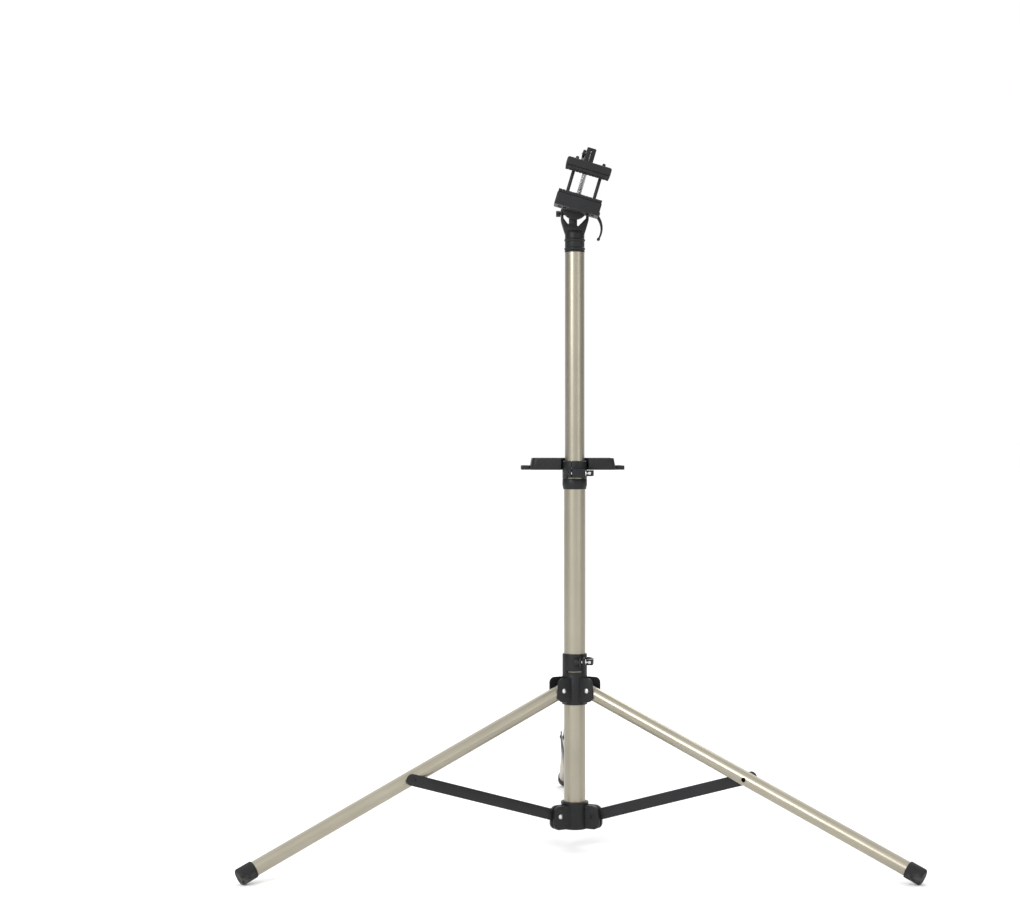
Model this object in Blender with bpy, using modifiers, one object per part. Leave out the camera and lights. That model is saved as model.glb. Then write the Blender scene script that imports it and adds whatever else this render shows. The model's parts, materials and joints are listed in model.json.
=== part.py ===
"""Folding bike repair stand: tripod base, telescopic mast, tool tray and a turning tube clamp.

Metres, +Z up. The origin is the point of the floor under the mast axis. The rear leg points
along +Y, and the clamp's mouth opens along -Y.
"""

import math

import bmesh
import bpy
from mathutils import Matrix, Vector

# Clearances.
GAP = 0.0003  # between two pieces that touch
PAST = 0.01  # how far a cutter stands past what it cuts
RUNNING = 0.0004  # radial clearance of a part that slides or turns

# Round sections.
TUBE_SIDES = 36
PIN_SIDES = 12

# Mast tubes.
LOWER_TUBE_RADIUS = 0.019
LOWER_TUBE_WALL = 0.0013
LOWER_TUBE_BOTTOM = 0.0363
LOWER_TUBE_TOP = 0.6717
UPPER_TUBE_RADIUS = 0.0173
UPPER_TUBE_WALL = 0.0015
UPPER_TUBE_BOTTOM = 0.452
UPPER_TUBE_TOP = 1.0514
END_PLUG_DEPTH = 0.018

# Tripod legs. The pivot lies a little over the leg's own axis.
ARMS = {"rear": 90.0, "left": 210.0, "right": 330.0}
LEG_PITCH = math.radians(23.47)
FOLDED_PITCH = math.radians(54.6)  # a little more than the fold reaches
LEG_LENGTH = 0.6474  # pivot to the middle of the foot cap
LEG_RADIUS = 0.0125
LEG_WALL = 0.0014
LEG_OFFSET = -0.003  # leg axis above its pivot, across the leg
LEG_TAIL = 0.004  # tube past the pivot, towards the mast
LEG_PIVOT_REACH = LOWER_TUBE_RADIUS + 0.0125  # mast axis to leg pivot
FOOT_CAP_WALL = 0.0016
FOOT_CAP_LENGTH = 0.0292
FOOT_CAP_END = 0.006
FOOT_FLAT = 0.0016  # depth of the worn flat that rests on the floor
PIVOT_PIN_RADIUS = 0.0025
PIN_HEAD_RADIUS = 0.0042
PIN_HEAD_HEIGHT = 0.0017

# Hub that slides on the lower tube. Heights are from its leg pivots.
HUB_RADIUS = LOWER_TUBE_RADIUS + 0.0035
HUB_BOTTOM = -0.0264
HUB_BAND_START = 0.0225
HUB_TOP = 0.0634
HUB_SLIT_HEIGHT = 0.0322
HUB_LUG_REACH = LEG_PIVOT_REACH + 0.012
HUB_LUG_BOTTOM = -0.0200
HUB_LUG_TOP = 0.0222
HUB_LUG_CORNERS = (0.010, 0.010)  # lower and upper
HUB_EAR = 0.003
LEG_CLEARANCE = 0.0005
HUB_SKEWER_HEIGHT = 0.0504
HUB_SPLIT_X = 0.0115
HUB_LEVER_X = 0.0252

# Collar at the foot of the mast, which holds the straps.
COLLAR_RADIUS = LOWER_TUBE_RADIUS + 0.0045
COLLAR_LIP_RADIUS = COLLAR_RADIUS + 0.001
COLLAR_BOTTOM = 0.032
COLLAR_TOP = 0.080
COLLAR_LIP = 0.005
COLLAR_FLOOR_HOLE = 0.008
COLLAR_LUG_REACH = LOWER_TUBE_RADIUS + 0.0305
COLLAR_LUG_BOTTOM = 0.0335
COLLAR_LUG_TOP = 0.0752
COLLAR_LUG_WIDTH = 0.018
COLLAR_LUG_SHIFT = 0.004  # the lugs sit to the left-hand side of each leg's plane
COLLAR_LUG_CORNERS = (0.011, 0.013)  # lower and upper
STRAP_CLEARANCE = 0.0005
STRAP_RECESS = 0.0015  # the blind dimple in the far side of each lug
STRAP_PIN_START = 0.003
STRAP_PIVOT_REACH = LOWER_TUBE_RADIUS + 0.018
STRAP_PIVOT_HEIGHT = 0.057

# Straps between the collar and the legs.
STRAP_AT_LEG = 0.325  # leg pivot to strap pivot, along the leg
STRAP_WIDTH = 0.020
STRAP_THICKNESS = 0.003
STRAP_WASHER = 0.001
STRAP_OVERHANG = 0.003  # rounded end past the bolt on the leg
STRAP_HOLE_RADIUS = 0.004
STRAP_STRAIGHT = 0.045  # straight length at each end, before the joggle

# Quick-release cams.
SKEWER_RADIUS = 0.0025
NUT_RADIUS = 0.0055
CAM_RADIUS = 0.0062
CAM_HEIGHT = 0.010
CAM_SLOT = 0.0060
CAM_PIN_RADIUS = 0.0015
CAM_EYE_RADIUS = 0.004
CAM_BACK = 0.0016  # cam left behind the slot for the skewer's eye
CAM_WASHER_RADIUS = 0.0048
CAM_WASHER_HEIGHT = 0.0013
NUT_HEIGHT = 0.0078
NUT_END = 0.0012  # closed end of a cap nut
LEVER_THICKNESS = 0.004
EAR_DEPTH = 0.010
EAR_HEIGHT = 0.015
EAR_THICKNESS = 0.0048
SPLIT = 0.0018
SLIT_HALF = 0.0148
SLIT_HEIGHT = 0.0018
# Lever shapes: reach, bulge, sideways shift of the end, radius of the knob.
BAND_LEVER = (0.044, 0.0062, 0.0, 0.003)
HEAD_LEVER = (0.045, 0.0072, 0.0035, 0.0028)
CLAMP_LEVER = (0.066, -0.0030, 0.0060, 0.0032)

# Quick-release collar at the top of the lower tube.
TOP_COLLAR_RADIUS = LOWER_TUBE_RADIUS + 0.0028  # also the hub's band
TOP_COLLAR_BOTTOM = LOWER_TUBE_TOP - 0.0397
TOP_COLLAR_TOP = LOWER_TUBE_TOP + 0.0103
TOP_COLLAR_SLIT_HEIGHT = LOWER_TUBE_TOP - 0.0202
TOP_COLLAR_SKEWER_HEIGHT = LOWER_TUBE_TOP - 0.0113
TOP_COLLAR_SPLIT_X = -0.0065
TOP_COLLAR_LEVER_X = 0.0255
TOP_COLLAR_EAR = 0.0230  # the long ear, on the lever's side
BRACKET_WIDTH = 0.028
BRACKET_THICKNESS = 0.0077
BRACKET_END = 0.062

# Tool tray.
TRAY_BOTTOM = LOWER_TUBE_TOP - 0.0055
TRAY_HEIGHT = 0.0208
TRAY_CORNER = 0.010
TRAY_SLOPE = 0.0036  # how far the rim stands in from the floor at each side
TRAY_WALL = 0.0025
TRAY_FLOOR = 0.003
TRAY_LEFT = -0.079
TRAY_RIGHT = 0.073
TRAY_FRONT = -0.008
TRAY_BACK = 0.148
TRAY_NOTCH_RADIUS = LOWER_TUBE_RADIUS + 0.0055
WING_REACH = 0.016
WING_THICKNESS = 0.0075
WING_SINK = 0.002
WING_FRONT = 0.012
WING_BACK = 0.112
WING_SLOT = 0.009
WING_SLOT_END = 0.012
TRAY_SCREWS = {"front": 0.036, "rear": 0.053}
SCREW_RADIUS = 0.002
SCREW_HEAD_RADIUS = 0.004
SCREW_HEAD_HEIGHT = 0.0022

# Yoke on top of the upper tube.
YOKE_DEPTH = 0.022
SPIGOT_LENGTH = 0.040
SPIGOT_BORE = 0.0115
SOCKET_RADIUS = 0.0173
SOCKET_RING_RADIUS = 0.0186
SOCKET_RINGS = (0.0055, 0.0215)  # heights above the foot
YOKE_SHOULDER = UPPER_TUBE_TOP + 0.0316
VALLEY_RIGHT = UPPER_TUBE_TOP + 0.0436
VALLEY_LEFT = UPPER_TUBE_TOP + 0.0466
VALLEY_OUTER = UPPER_TUBE_TOP + 0.0596
HORN_TOP = UPPER_TUBE_TOP + 0.0761
HORN_REACH = 0.0250
HORN_THICKNESS = 0.0043
PILLAR_LEFT = -0.0102
PILLAR_RIGHT = 0.0040
PILLAR_SPLIT = 0.0016
PILLAR_SPLIT_BOTTOM = UPPER_TUBE_TOP + 0.0571
HEAD_SKEWER_HEIGHT = UPPER_TUBE_TOP + 0.0681
HEAD_LEVER_X = 0.0385

# Turning clamp. Its frame is at the head axis, tilted with the jaws.
HEAD_AXIS_HEIGHT = UPPER_TUBE_TOP + 0.0791
CLAMP_TILT = math.radians(16.5)
SHAFT_RADIUS = 0.006
SHAFT_RING_RADIUS = 0.013
SHAFT_RING_STAND = 0.002  # past the yoke, front and back
DISC_RADIUS = 0.0234
DISC_THICKNESS = 0.0135
SHAFT_END = 0.002  # past its nut
JAW_BOLTS = {"left": -0.0125, "right": 0.0125}
JAW_BOLT_HEIGHT = -0.004
JAW_BOLT_DEPTH = 0.013
SHAFT_NUT_RADIUS = 0.0105
SHAFT_NUT_HEIGHT = 0.0065

# Jaws, in the clamp's frame.
JAW_LENGTH = 0.080
JAW_CENTRE = 0.0037
JAW_FRONT = -0.076
LOWER_JAW_BOTTOM = -0.0117
LOWER_JAW_TOP = 0.0105
UPPER_JAW_TOP = 0.0743
UPPER_JAW_BOTTOM = 0.0605
PAD_THICKNESS = 0.0053
PAD_INSET = 0.001
PAD_BACK = -0.0395
MOUTH = 0.0398  # between the two pads
GROOVE_RADIUS = 0.024
GROOVE_DEPTH = 0.003
SPINDLE_RADIUS = 0.0045
SPINDLE_BACK = -0.0335
SPINDLE_TOP = 0.098
GUIDE_RADIUS = 0.003
GUIDE_TOP = 0.0845
GUIDES = {"left": -0.0202, "right": 0.0283}
ROD_SEAT = -0.005  # how deep the spindle and the guides stand in the lower jaw
WASHER_RADIUS = 0.010
WASHER_HEIGHT = 0.0013
POST_WIDTH = 0.0165
POST_TOP = 0.1038
POST_SLOT = 0.0024
POST_SLOT_END = 0.004
CLAMP_CAM_HEIGHT = 0.0910
CLAMP_CAM_RADIUS = 0.0075
CLAMP_CAM_WIDTH = 0.0052
CLAMP_PIN_RADIUS = 0.002
CLAMP_PIN_HEAD_RADIUS = 0.0038
CLAMP_PIN_HEAD_HEIGHT = 0.0014

# Worked out from the sizes above.
CAP_RADIUS = LEG_RADIUS + GAP + FOOT_CAP_WALL
CAP_ROUND = 0.003
FOOT_CENTRE_HEIGHT = (
    FOOT_CAP_LENGTH / 2 * math.sin(LEG_PITCH)
    + CAP_RADIUS * math.cos(LEG_PITCH)
    - FOOT_FLAT
)
LEG_PIVOT_HEIGHT = (
    FOOT_CENTRE_HEIGHT
    + LEG_LENGTH * math.sin(LEG_PITCH)
    - LEG_OFFSET * math.cos(LEG_PITCH)
)
HUB_BORE = LOWER_TUBE_RADIUS + RUNNING
HUB_SLOT_FLOOR = HUB_BORE + 0.0015
HUB_SLOT_HALF = LEG_RADIUS + LEG_CLEARANCE
HUB_LUG_HALF = HUB_SLOT_HALF + HUB_EAR
UPPER_BORE = UPPER_TUBE_RADIUS - UPPER_TUBE_WALL
CLAMP_FRONT = -YOKE_DEPTH / 2 - SHAFT_RING_STAND
DISC_FRONT = CLAMP_FRONT - GAP - DISC_THICKNESS
LOWER_PAD_TOP = LOWER_JAW_TOP + GAP + PAD_THICKNESS
UPPER_PAD_BOTTOM = LOWER_PAD_TOP + MOUTH
STRAP_LATERAL = LEG_RADIUS + GAP + STRAP_WASHER + STRAP_THICKNESS / 2
BRACKET_BOTTOM = TRAY_BOTTOM - GAP - BRACKET_THICKNESS

MATERIALS = {
    "champagne_paint": ((0.41, 0.37, 0.30), 0.32, 0.85),
    "black_plastic": ((0.022, 0.024, 0.026), 0.48, 0.0),
    "black_steel": ((0.030, 0.031, 0.033), 0.42, 0.6),
    "bright_steel": ((0.62, 0.62, 0.60), 0.25, 1.0),
    "black_rubber": ((0.016, 0.016, 0.017), 0.75, 0.0),
}


# ---------------------------------------------------------------- scene and helpers


def clear_scene():
    for obj in list(bpy.data.objects):
        bpy.data.objects.remove(obj, do_unlink=True)


def new_collection(name):
    collection = bpy.data.collections.new(name)
    bpy.context.scene.collection.children.link(collection)
    return collection


def make_materials():
    for name, (colour, roughness, metallic) in MATERIALS.items():
        material = bpy.data.materials.new(name)
        material.use_nodes = True
        shader = material.node_tree.nodes["Principled BSDF"]
        shader.inputs["Base Color"].default_value = (*colour, 1.0)
        shader.inputs["Roughness"].default_value = roughness
        shader.inputs["Metallic"].default_value = metallic


def link(obj, parent=None):
    """Puts a helper or a raw solid in the cutters collection, under its frame."""
    bpy.data.collections["cutters"].objects.link(obj)
    obj.parent = parent
    obj.hide_render = True
    obj.display_type = "WIRE"
    return obj


def frame_empty(name, place, turn=(0.0, 0.0, 0.0), parent=None):
    empty = bpy.data.objects.new(name, None)
    bpy.data.collections["bike_repair_stand"].objects.link(empty)
    empty.empty_display_size = 0.02
    empty.location = place
    empty.rotation_euler = turn
    empty.parent = parent
    return empty


def mesh_object(name, mesh, parent):
    return link(bpy.data.objects.new(name, mesh), parent)


def block(name, low, high, parent=None, bevel=0.0):
    """A box between two opposite corners."""
    low, high = Vector(low), Vector(high)
    work = bmesh.new()
    bmesh.ops.create_cube(work, size=1.0)
    size = high - low
    bmesh.ops.transform(
        work,
        matrix=Matrix.Translation((low + high) / 2) @ Matrix.Diagonal((*size, 1.0)),
        verts=work.verts,
    )
    mesh = bpy.data.meshes.new(name)
    work.to_mesh(mesh)
    work.free()
    obj = mesh_object(name, mesh, parent)
    if bevel:
        soften(obj, bevel)
    return obj


def rod(name, radius, start, end, parent=None, sides=PIN_SIDES):
    """A cylinder between two points."""
    start, end = Vector(start), Vector(end)
    along = end - start
    work = bmesh.new()
    bmesh.ops.create_cone(
        work,
        cap_ends=True,
        segments=sides,
        radius1=radius,
        radius2=radius,
        depth=along.length,
    )
    turn = Vector((0, 0, 1)).rotation_difference(along).to_matrix().to_4x4()
    bmesh.ops.transform(
        work, matrix=Matrix.Translation((start + end) / 2) @ turn, verts=work.verts
    )
    mesh = bpy.data.meshes.new(name)
    work.to_mesh(mesh)
    work.free()
    return mesh_object(name, mesh, parent)


AXIS_TURNS = {
    "X": (0.0, math.pi / 2, 0.0),
    "Y": (-math.pi / 2, 0.0, 0.0),
    "Z": (0.0, 0.0, 0.0),
}


def turned(name, profile, parent=None, axis="Z", place=(0, 0, 0), ring=False, sides=TUBE_SIDES):
    """A profile of (radius, height) points, top to bottom down the outer side, turned about an axis."""
    mesh = bpy.data.meshes.new(name)
    count = len(profile)
    edges = [(i, i + 1) for i in range(count - 1)]
    if ring:
        edges.append((count - 1, 0))
    mesh.from_pydata([(radius, 0.0, height) for radius, height in profile], edges, [])
    obj = mesh_object(name, mesh, parent)
    obj.location = place
    obj.rotation_euler = AXIS_TURNS[axis]
    screw = obj.modifiers.new("turn", "SCREW")
    screw.steps = sides
    screw.render_steps = sides
    screw.use_merge_vertices = True
    screw.merge_threshold = 0.00001
    return obj


def rounded(corners, steps=4):
    """An outline from (x, y, radius) corners, each with its own fillet."""
    outline = []
    for i, (x, y, radius) in enumerate(corners):
        corner = Vector((x, y))
        before = Vector(corners[i - 1][:2]) - corner
        after = Vector(corners[(i + 1) % len(corners)][:2]) - corner
        if radius <= 0.0:
            outline.append(corner)
            continue
        half = before.angle(after) / 2
        bisector = (before.normalized() + after.normalized()).normalized()
        centre = corner + bisector * radius / math.sin(half)
        start = corner + before.normalized() * radius / math.tan(half) - centre
        end = corner + after.normalized() * radius / math.tan(half) - centre
        sweep = start.angle_signed(end)
        for step in range(steps + 1):
            outline.append(centre + Matrix.Rotation(-sweep * step / steps, 2) @ start)
    return outline


def stadium(start, end, radius, steps=7):
    """An outline with two round ends, along local X."""
    outline = []
    for centre, first in ((end, -math.pi / 2), (start, math.pi / 2)):
        for step in range(steps + 1):
            angle = first + math.pi * step / steps
            outline.append(Vector((centre + radius * math.cos(angle), radius * math.sin(angle))))
    return outline


def ribbon(path, half):
    """The outline of a strip of even thickness along a path."""
    left, right = [], []
    for i, point in enumerate(path):
        ahead = path[min(i + 1, len(path) - 1)] - path[max(i - 1, 0)]
        side = Vector((-ahead.y, ahead.x)).normalized() * half
        left.append(point + side)
        right.append(point - side)
    return right + left[::-1]


PLANE_TURNS = {
    "XY": (0.0, 0.0, 0.0),
    "XZ": (math.pi / 2, 0.0, 0.0),
}


def plate(name, outline, low, high, parent=None, plane="XY"):
    """A flat outline with thickness. In the XZ plane, low and high are along Y."""
    curve = bpy.data.curves.new(name, "CURVE")
    curve.dimensions = "2D"
    curve.fill_mode = "BOTH"
    curve.extrude = (high - low) / 2
    spline = curve.splines.new("POLY")
    spline.points.add(len(outline) - 1)
    for point, place in zip(spline.points, outline):
        point.co = (place.x, place.y, 0.0, 1.0)
    spline.use_cyclic_u = True
    guide = bpy.data.objects.new(name, curve)
    bpy.context.scene.collection.objects.link(guide)
    graph = bpy.context.evaluated_depsgraph_get()
    mesh = bpy.data.meshes.new_from_object(guide.evaluated_get(graph))
    bpy.data.objects.remove(guide)
    bpy.data.curves.remove(curve)
    work = bmesh.new()
    work.from_mesh(mesh)
    bmesh.ops.remove_doubles(work, verts=work.verts, dist=0.00001)
    bmesh.ops.recalc_face_normals(work, faces=work.faces)
    work.to_mesh(mesh)
    work.free()
    obj = mesh_object(name, mesh, parent)
    obj.rotation_euler = PLANE_TURNS[plane]
    middle = (low + high) / 2
    obj.location = (0, middle, 0) if plane == "XZ" else (0, 0, middle)
    return obj


def soften(obj, width, segments=2):
    bevel = obj.modifiers.new("soften", "BEVEL")
    bevel.width = width
    bevel.segments = segments
    bevel.limit_method = "ANGLE"
    bevel.angle_limit = math.radians(40)


def combine(obj, add=(), cut=()):
    """Joins some solids to this one, then cuts others out of it."""
    for operation, others in (("UNION", add), ("DIFFERENCE", cut)):
        for other in others:
            step = obj.modifiers.new(operation.lower(), "BOOLEAN")
            step.operation = operation
            step.solver = "EXACT"
            step.object = other
    return obj


def part(name, obj, material):
    """Makes a raw solid one of the object's own pieces."""
    bpy.data.collections["cutters"].objects.unlink(obj)
    bpy.data.collections["bike_repair_stand"].objects.link(obj)
    obj.hide_render = False
    obj.display_type = "TEXTURED"
    obj.name = name
    obj.data.name = name
    obj.data.materials.append(bpy.data.materials[material])
    for polygon in obj.data.polygons:
        polygon.use_smooth = True
    if obj.data.polygons:
        obj.data.set_sharp_from_angle(angle=math.radians(30))
    for modifier in obj.modifiers:
        if modifier.type == "SCREW":
            modifier.use_smooth_shade = True
    return obj


def tube_profile(outer, inner, top, bottom):
    return [(outer, top), (outer, bottom), (inner, bottom), (inner, top)]


def pin_profile(shank, length, head, height, heads=2):
    """A rivet about its middle: a domed head on top, and one underneath if there are two."""
    half = length / 2
    dome = [(head * 0.75, half + height), (head, half + height * 0.4), (head, half)]
    lower = [(radius, -level) for radius, level in reversed(dome)]
    if heads == 1:
        lower = [(0.0, -half)]
        return [(0.0, half + height), *dome, (shank, half), (shank, -half), *lower]
    return [
        (0.0, half + height),
        *dome,
        (shank, half),
        (shank, -half),
        *lower,
        (0.0, -half - height),
    ]


# ---------------------------------------------------------------- quick-release cam


def lever_solid(name, parent, reach, bulge, end_shift, knob, cam=CAM_RADIUS, height=CAM_HEIGHT):
    """A cam head and its curved arm. The arm leaves along +Y, and the pivot is local Z."""
    steps = 10
    path = []
    for step in range(steps + 1):
        share = step / steps
        across = end_shift * share + 4 * bulge * share * (1 - share)
        path.append(Vector((across, cam * 0.55 + (reach - cam * 0.55) * share)))
    low, high = -height / 2, height / 2
    arm = plate(name + "_arm", ribbon(path, LEVER_THICKNESS / 2), low * 0.98, high * 0.98, parent)
    tip = rod(name + "_tip", knob, (*path[-1], low * 0.96), (*path[-1], high * 0.96), parent)
    head = rod(name, cam, (0, 0, low), (0, 0, high), parent, 20)
    return combine(head, add=(arm, tip))


def cam_set(prefix, frame, nut_face, ear_face, lever, finish):
    """Skewer along local X with its nut, cam pin and lever. The lever's pivot is the frame's origin."""
    far = nut_face - NUT_HEIGHT
    end = far + NUT_END
    eye_half = CAM_SLOT / 2 - GAP
    eye = rod(prefix + "_eye", CAM_EYE_RADIUS, (0, 0, -eye_half), (0, 0, eye_half), frame)
    pin_hole = rod(prefix + "_pin_hole", CAM_PIN_RADIUS + GAP, (0, 0, -0.02), (0, 0, 0.02), frame)
    skewer = rod(prefix + "_skewer", SKEWER_RADIUS, (end, 0, 0), (0, 0, 0), frame)
    combine(skewer, add=(eye,), cut=(pin_hole,))
    part(prefix + "_skewer", skewer, finish)

    nut = rod(prefix + "_nut", NUT_RADIUS, (far, 0, 0), (nut_face, 0, 0), frame, 6)
    bore = rod(prefix + "_nut_bore", SKEWER_RADIUS + GAP, (end - GAP, 0, 0), (0, 0, 0), frame)
    part(prefix + "_nut", combine(nut, cut=(bore,)), "black_steel")

    outside = ear_face + CAM_WASHER_HEIGHT
    washer = rod(prefix + "_washer", CAM_WASHER_RADIUS, (ear_face, 0, 0), (outside, 0, 0), frame)
    part(prefix + "_washer", combine(washer, cut=(bore,)), finish)

    half = CAM_HEIGHT / 2
    pin = rod(prefix + "_cam_pin", CAM_PIN_RADIUS, (0, 0, -half), (0, 0, half), frame)
    part(prefix + "_cam_pin", pin, "bright_steel")

    arm = lever_solid(prefix + "_lever", frame, *lever)
    inside = CAM_RADIUS - CAM_BACK
    slot = block(
        prefix + "_cam_slot",
        (-2 * CAM_RADIUS, -2 * CAM_RADIUS, -CAM_SLOT / 2),
        (inside, inside, CAM_SLOT / 2),
        frame,
    )
    part(prefix + "_lever", combine(arm, cut=(slot, pin_hole)), "black_plastic")


def band_clamp(prefix, parent, height, slit_height, split_x, lever_x, long_ear=EAR_THICKNESS):
    """Pinch ears in front of a band, with their quick-release cam. The band is split above its slit."""
    radius = TOP_COLLAR_RADIUS
    depth = radius + NUT_RADIUS + 2 * GAP
    back = -LOWER_TUBE_RADIUS * 0.6
    half = EAR_HEIGHT / 2
    left, right = split_x - SPLIT / 2, split_x + SPLIT / 2
    ears = block(
        prefix + "_ears",
        (left - EAR_THICKNESS, -depth - EAR_DEPTH / 2, height - half),
        (right + long_ear, back, height + half),
        parent,
        bevel=0.0015,
    )
    split = block(
        prefix + "_split",
        (left, -depth - EAR_DEPTH, slit_height),
        (right, back + GAP, height + 0.05),
        parent,
    )
    slit = block(
        prefix + "_slit",
        (-SLIT_HALF, -radius - PAST, slit_height - SLIT_HEIGHT / 2),
        (SLIT_HALF, back, slit_height + SLIT_HEIGHT / 2),
        parent,
    )
    hole = rod(
        prefix + "_skewer_hole",
        SKEWER_RADIUS + GAP,
        (left - EAR_THICKNESS - PAST, -depth, height),
        (right + long_ear + PAST, -depth, height),
        parent,
    )
    frame = frame_empty(prefix + "_cam_frame", (lever_x, -depth, height), parent=parent)
    nut_face = left - EAR_THICKNESS - GAP - lever_x
    ear_face = right + long_ear + GAP - lever_x
    cam_set(prefix, frame, nut_face, ear_face, BAND_LEVER, "bright_steel")
    return ears, (split, hole, slit)


# ---------------------------------------------------------------- base


def make_lower_tube():
    inner = LOWER_TUBE_RADIUS - LOWER_TUBE_WALL
    profile = tube_profile(LOWER_TUBE_RADIUS, inner, LOWER_TUBE_TOP, LOWER_TUBE_BOTTOM)
    part("lower_mast_tube", turned("lower_mast_tube", profile, ring=True), "champagne_paint")


def arm_frames():
    return {
        name: frame_empty(f"{name}_arm_frame", (0, 0, 0), (0, 0, math.radians(angle)))
        for name, angle in ARMS.items()
    }


def make_bottom_collar(arms):
    lip = COLLAR_TOP - COLLAR_LIP
    profile = [
        (0.0, COLLAR_TOP),
        (COLLAR_LIP_RADIUS, COLLAR_TOP),
        (COLLAR_LIP_RADIUS, lip),
        (COLLAR_RADIUS, lip - 0.0015),
        (COLLAR_RADIUS, COLLAR_BOTTOM + 0.002),
        (COLLAR_RADIUS - 0.002, COLLAR_BOTTOM),
        (0.0, COLLAR_BOTTOM),
    ]
    collar = turned("bottom_collar", profile)
    lugs, cuts = [], []
    low = COLLAR_LUG_SHIFT - COLLAR_LUG_WIDTH / 2
    high = COLLAR_LUG_SHIFT + COLLAR_LUG_WIDTH / 2
    slot_half = STRAP_THICKNESS / 2 + STRAP_CLEARANCE
    slot_floor = STRAP_PIVOT_REACH - STRAP_WIDTH / 2 - 2 * STRAP_CLEARANCE
    outline = rounded(
        [
            (COLLAR_RADIUS - 0.006, COLLAR_LUG_BOTTOM, 0),
            (COLLAR_LUG_REACH, COLLAR_LUG_BOTTOM, COLLAR_LUG_CORNERS[0]),
            (COLLAR_LUG_REACH, COLLAR_LUG_TOP, COLLAR_LUG_CORNERS[1]),
            (COLLAR_RADIUS - 0.006, COLLAR_LUG_TOP, 0),
        ]
    )
    for name, arm in arms.items():
        lugs.append(plate(f"{name}_collar_lug", outline, low, high, arm, "XZ"))
        cuts.append(
            block(
                f"{name}_strap_slot",
                (slot_floor, COLLAR_LUG_SHIFT - slot_half, COLLAR_BOTTOM - PAST),
                (COLLAR_LUG_REACH + PAST, COLLAR_LUG_SHIFT + slot_half, COLLAR_TOP + PAST),
                arm,
            )
        )
        x, z = STRAP_PIVOT_REACH, STRAP_PIVOT_HEIGHT
        first, last = low + STRAP_PIN_START, high + GAP
        start, end = (x, first - GAP, z), (x, high + PAST, z)
        cuts.append(rod(f"{name}_strap_pin_hole", PIVOT_PIN_RADIUS + GAP, start, end, arm))
        start, end = (x, low - PAST, z), (x, low + STRAP_RECESS, z)
        cuts.append(rod(f"{name}_strap_pin_recess", PIN_HEAD_RADIUS, start, end, arm))
        profile = pin_profile(
            PIVOT_PIN_RADIUS, last - first, PIN_HEAD_RADIUS, PIN_HEAD_HEIGHT, heads=1
        )
        pin = turned("pin", profile, arm, "Y", (x, (first + last) / 2, z), sides=PIN_SIDES)
        part(f"strap_pivot_bolt_{name}", pin, "bright_steel")
    seat = LOWER_TUBE_RADIUS + GAP
    floor, top = (0, 0, LOWER_TUBE_BOTTOM - GAP), (0, 0, COLLAR_TOP + PAST)
    cuts.append(rod("collar_bore", seat, floor, top, sides=TUBE_SIDES))
    cuts.append(rod("collar_drain", COLLAR_FLOOR_HOLE, (0, 0, 0), top))
    part("bottom_collar", combine(collar, lugs, cuts), "black_plastic")


def make_top_collar():
    """Fixed to the top of the lower tube. Its band pinches the upper tube."""
    profile = [
        (0.0, TOP_COLLAR_TOP),
        (TOP_COLLAR_RADIUS, TOP_COLLAR_TOP),
        (TOP_COLLAR_RADIUS, TOP_COLLAR_BOTTOM + 0.008),
        (TOP_COLLAR_RADIUS - 0.0014, TOP_COLLAR_BOTTOM),
        (0.0, TOP_COLLAR_BOTTOM),
    ]
    collar = turned("mast_collar", profile)
    bracket = block(
        "bracket",
        (-BRACKET_WIDTH / 2, TOP_COLLAR_RADIUS * 0.7, BRACKET_BOTTOM),
        (BRACKET_WIDTH / 2, BRACKET_END, TRAY_BOTTOM - GAP),
        bevel=0.002,
    )
    ears, cuts = band_clamp(
        "collar",
        None,
        TOP_COLLAR_SKEWER_HEIGHT,
        TOP_COLLAR_SLIT_HEIGHT,
        TOP_COLLAR_SPLIT_X,
        TOP_COLLAR_LEVER_X,
        TOP_COLLAR_EAR,
    )
    low, high = TOP_COLLAR_BOTTOM - PAST, TOP_COLLAR_TOP + PAST
    step = LOWER_TUBE_TOP + GAP
    holes = [
        rod(f"bracket_{name}_hole", SCREW_RADIUS + GAP, (0, y, low), (0, y, high))
        for name, y in TRAY_SCREWS.items()
    ]
    seat, guide = LOWER_TUBE_RADIUS + GAP, UPPER_TUBE_RADIUS + RUNNING
    bores = [
        rod("top_collar_seat", seat, (0, 0, low), (0, 0, step), sides=TUBE_SIDES),
        rod("top_collar_guide", guide, (0, 0, low), (0, 0, high), sides=TUBE_SIDES),
    ]
    combine(collar, (bracket, ears), (*bores, *cuts, *holes))
    part("mast_collar", collar, "black_plastic")


def tray_outline(inset_x, inset_y):
    left, right = TRAY_LEFT + inset_x, TRAY_RIGHT - inset_x
    front, back = TRAY_FRONT + inset_y, TRAY_BACK - inset_y
    corner = TRAY_CORNER - inset_y
    return rounded(
        [(left, front, corner), (right, front, corner), (right, back, corner), (left, back, corner)]
    )


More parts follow.
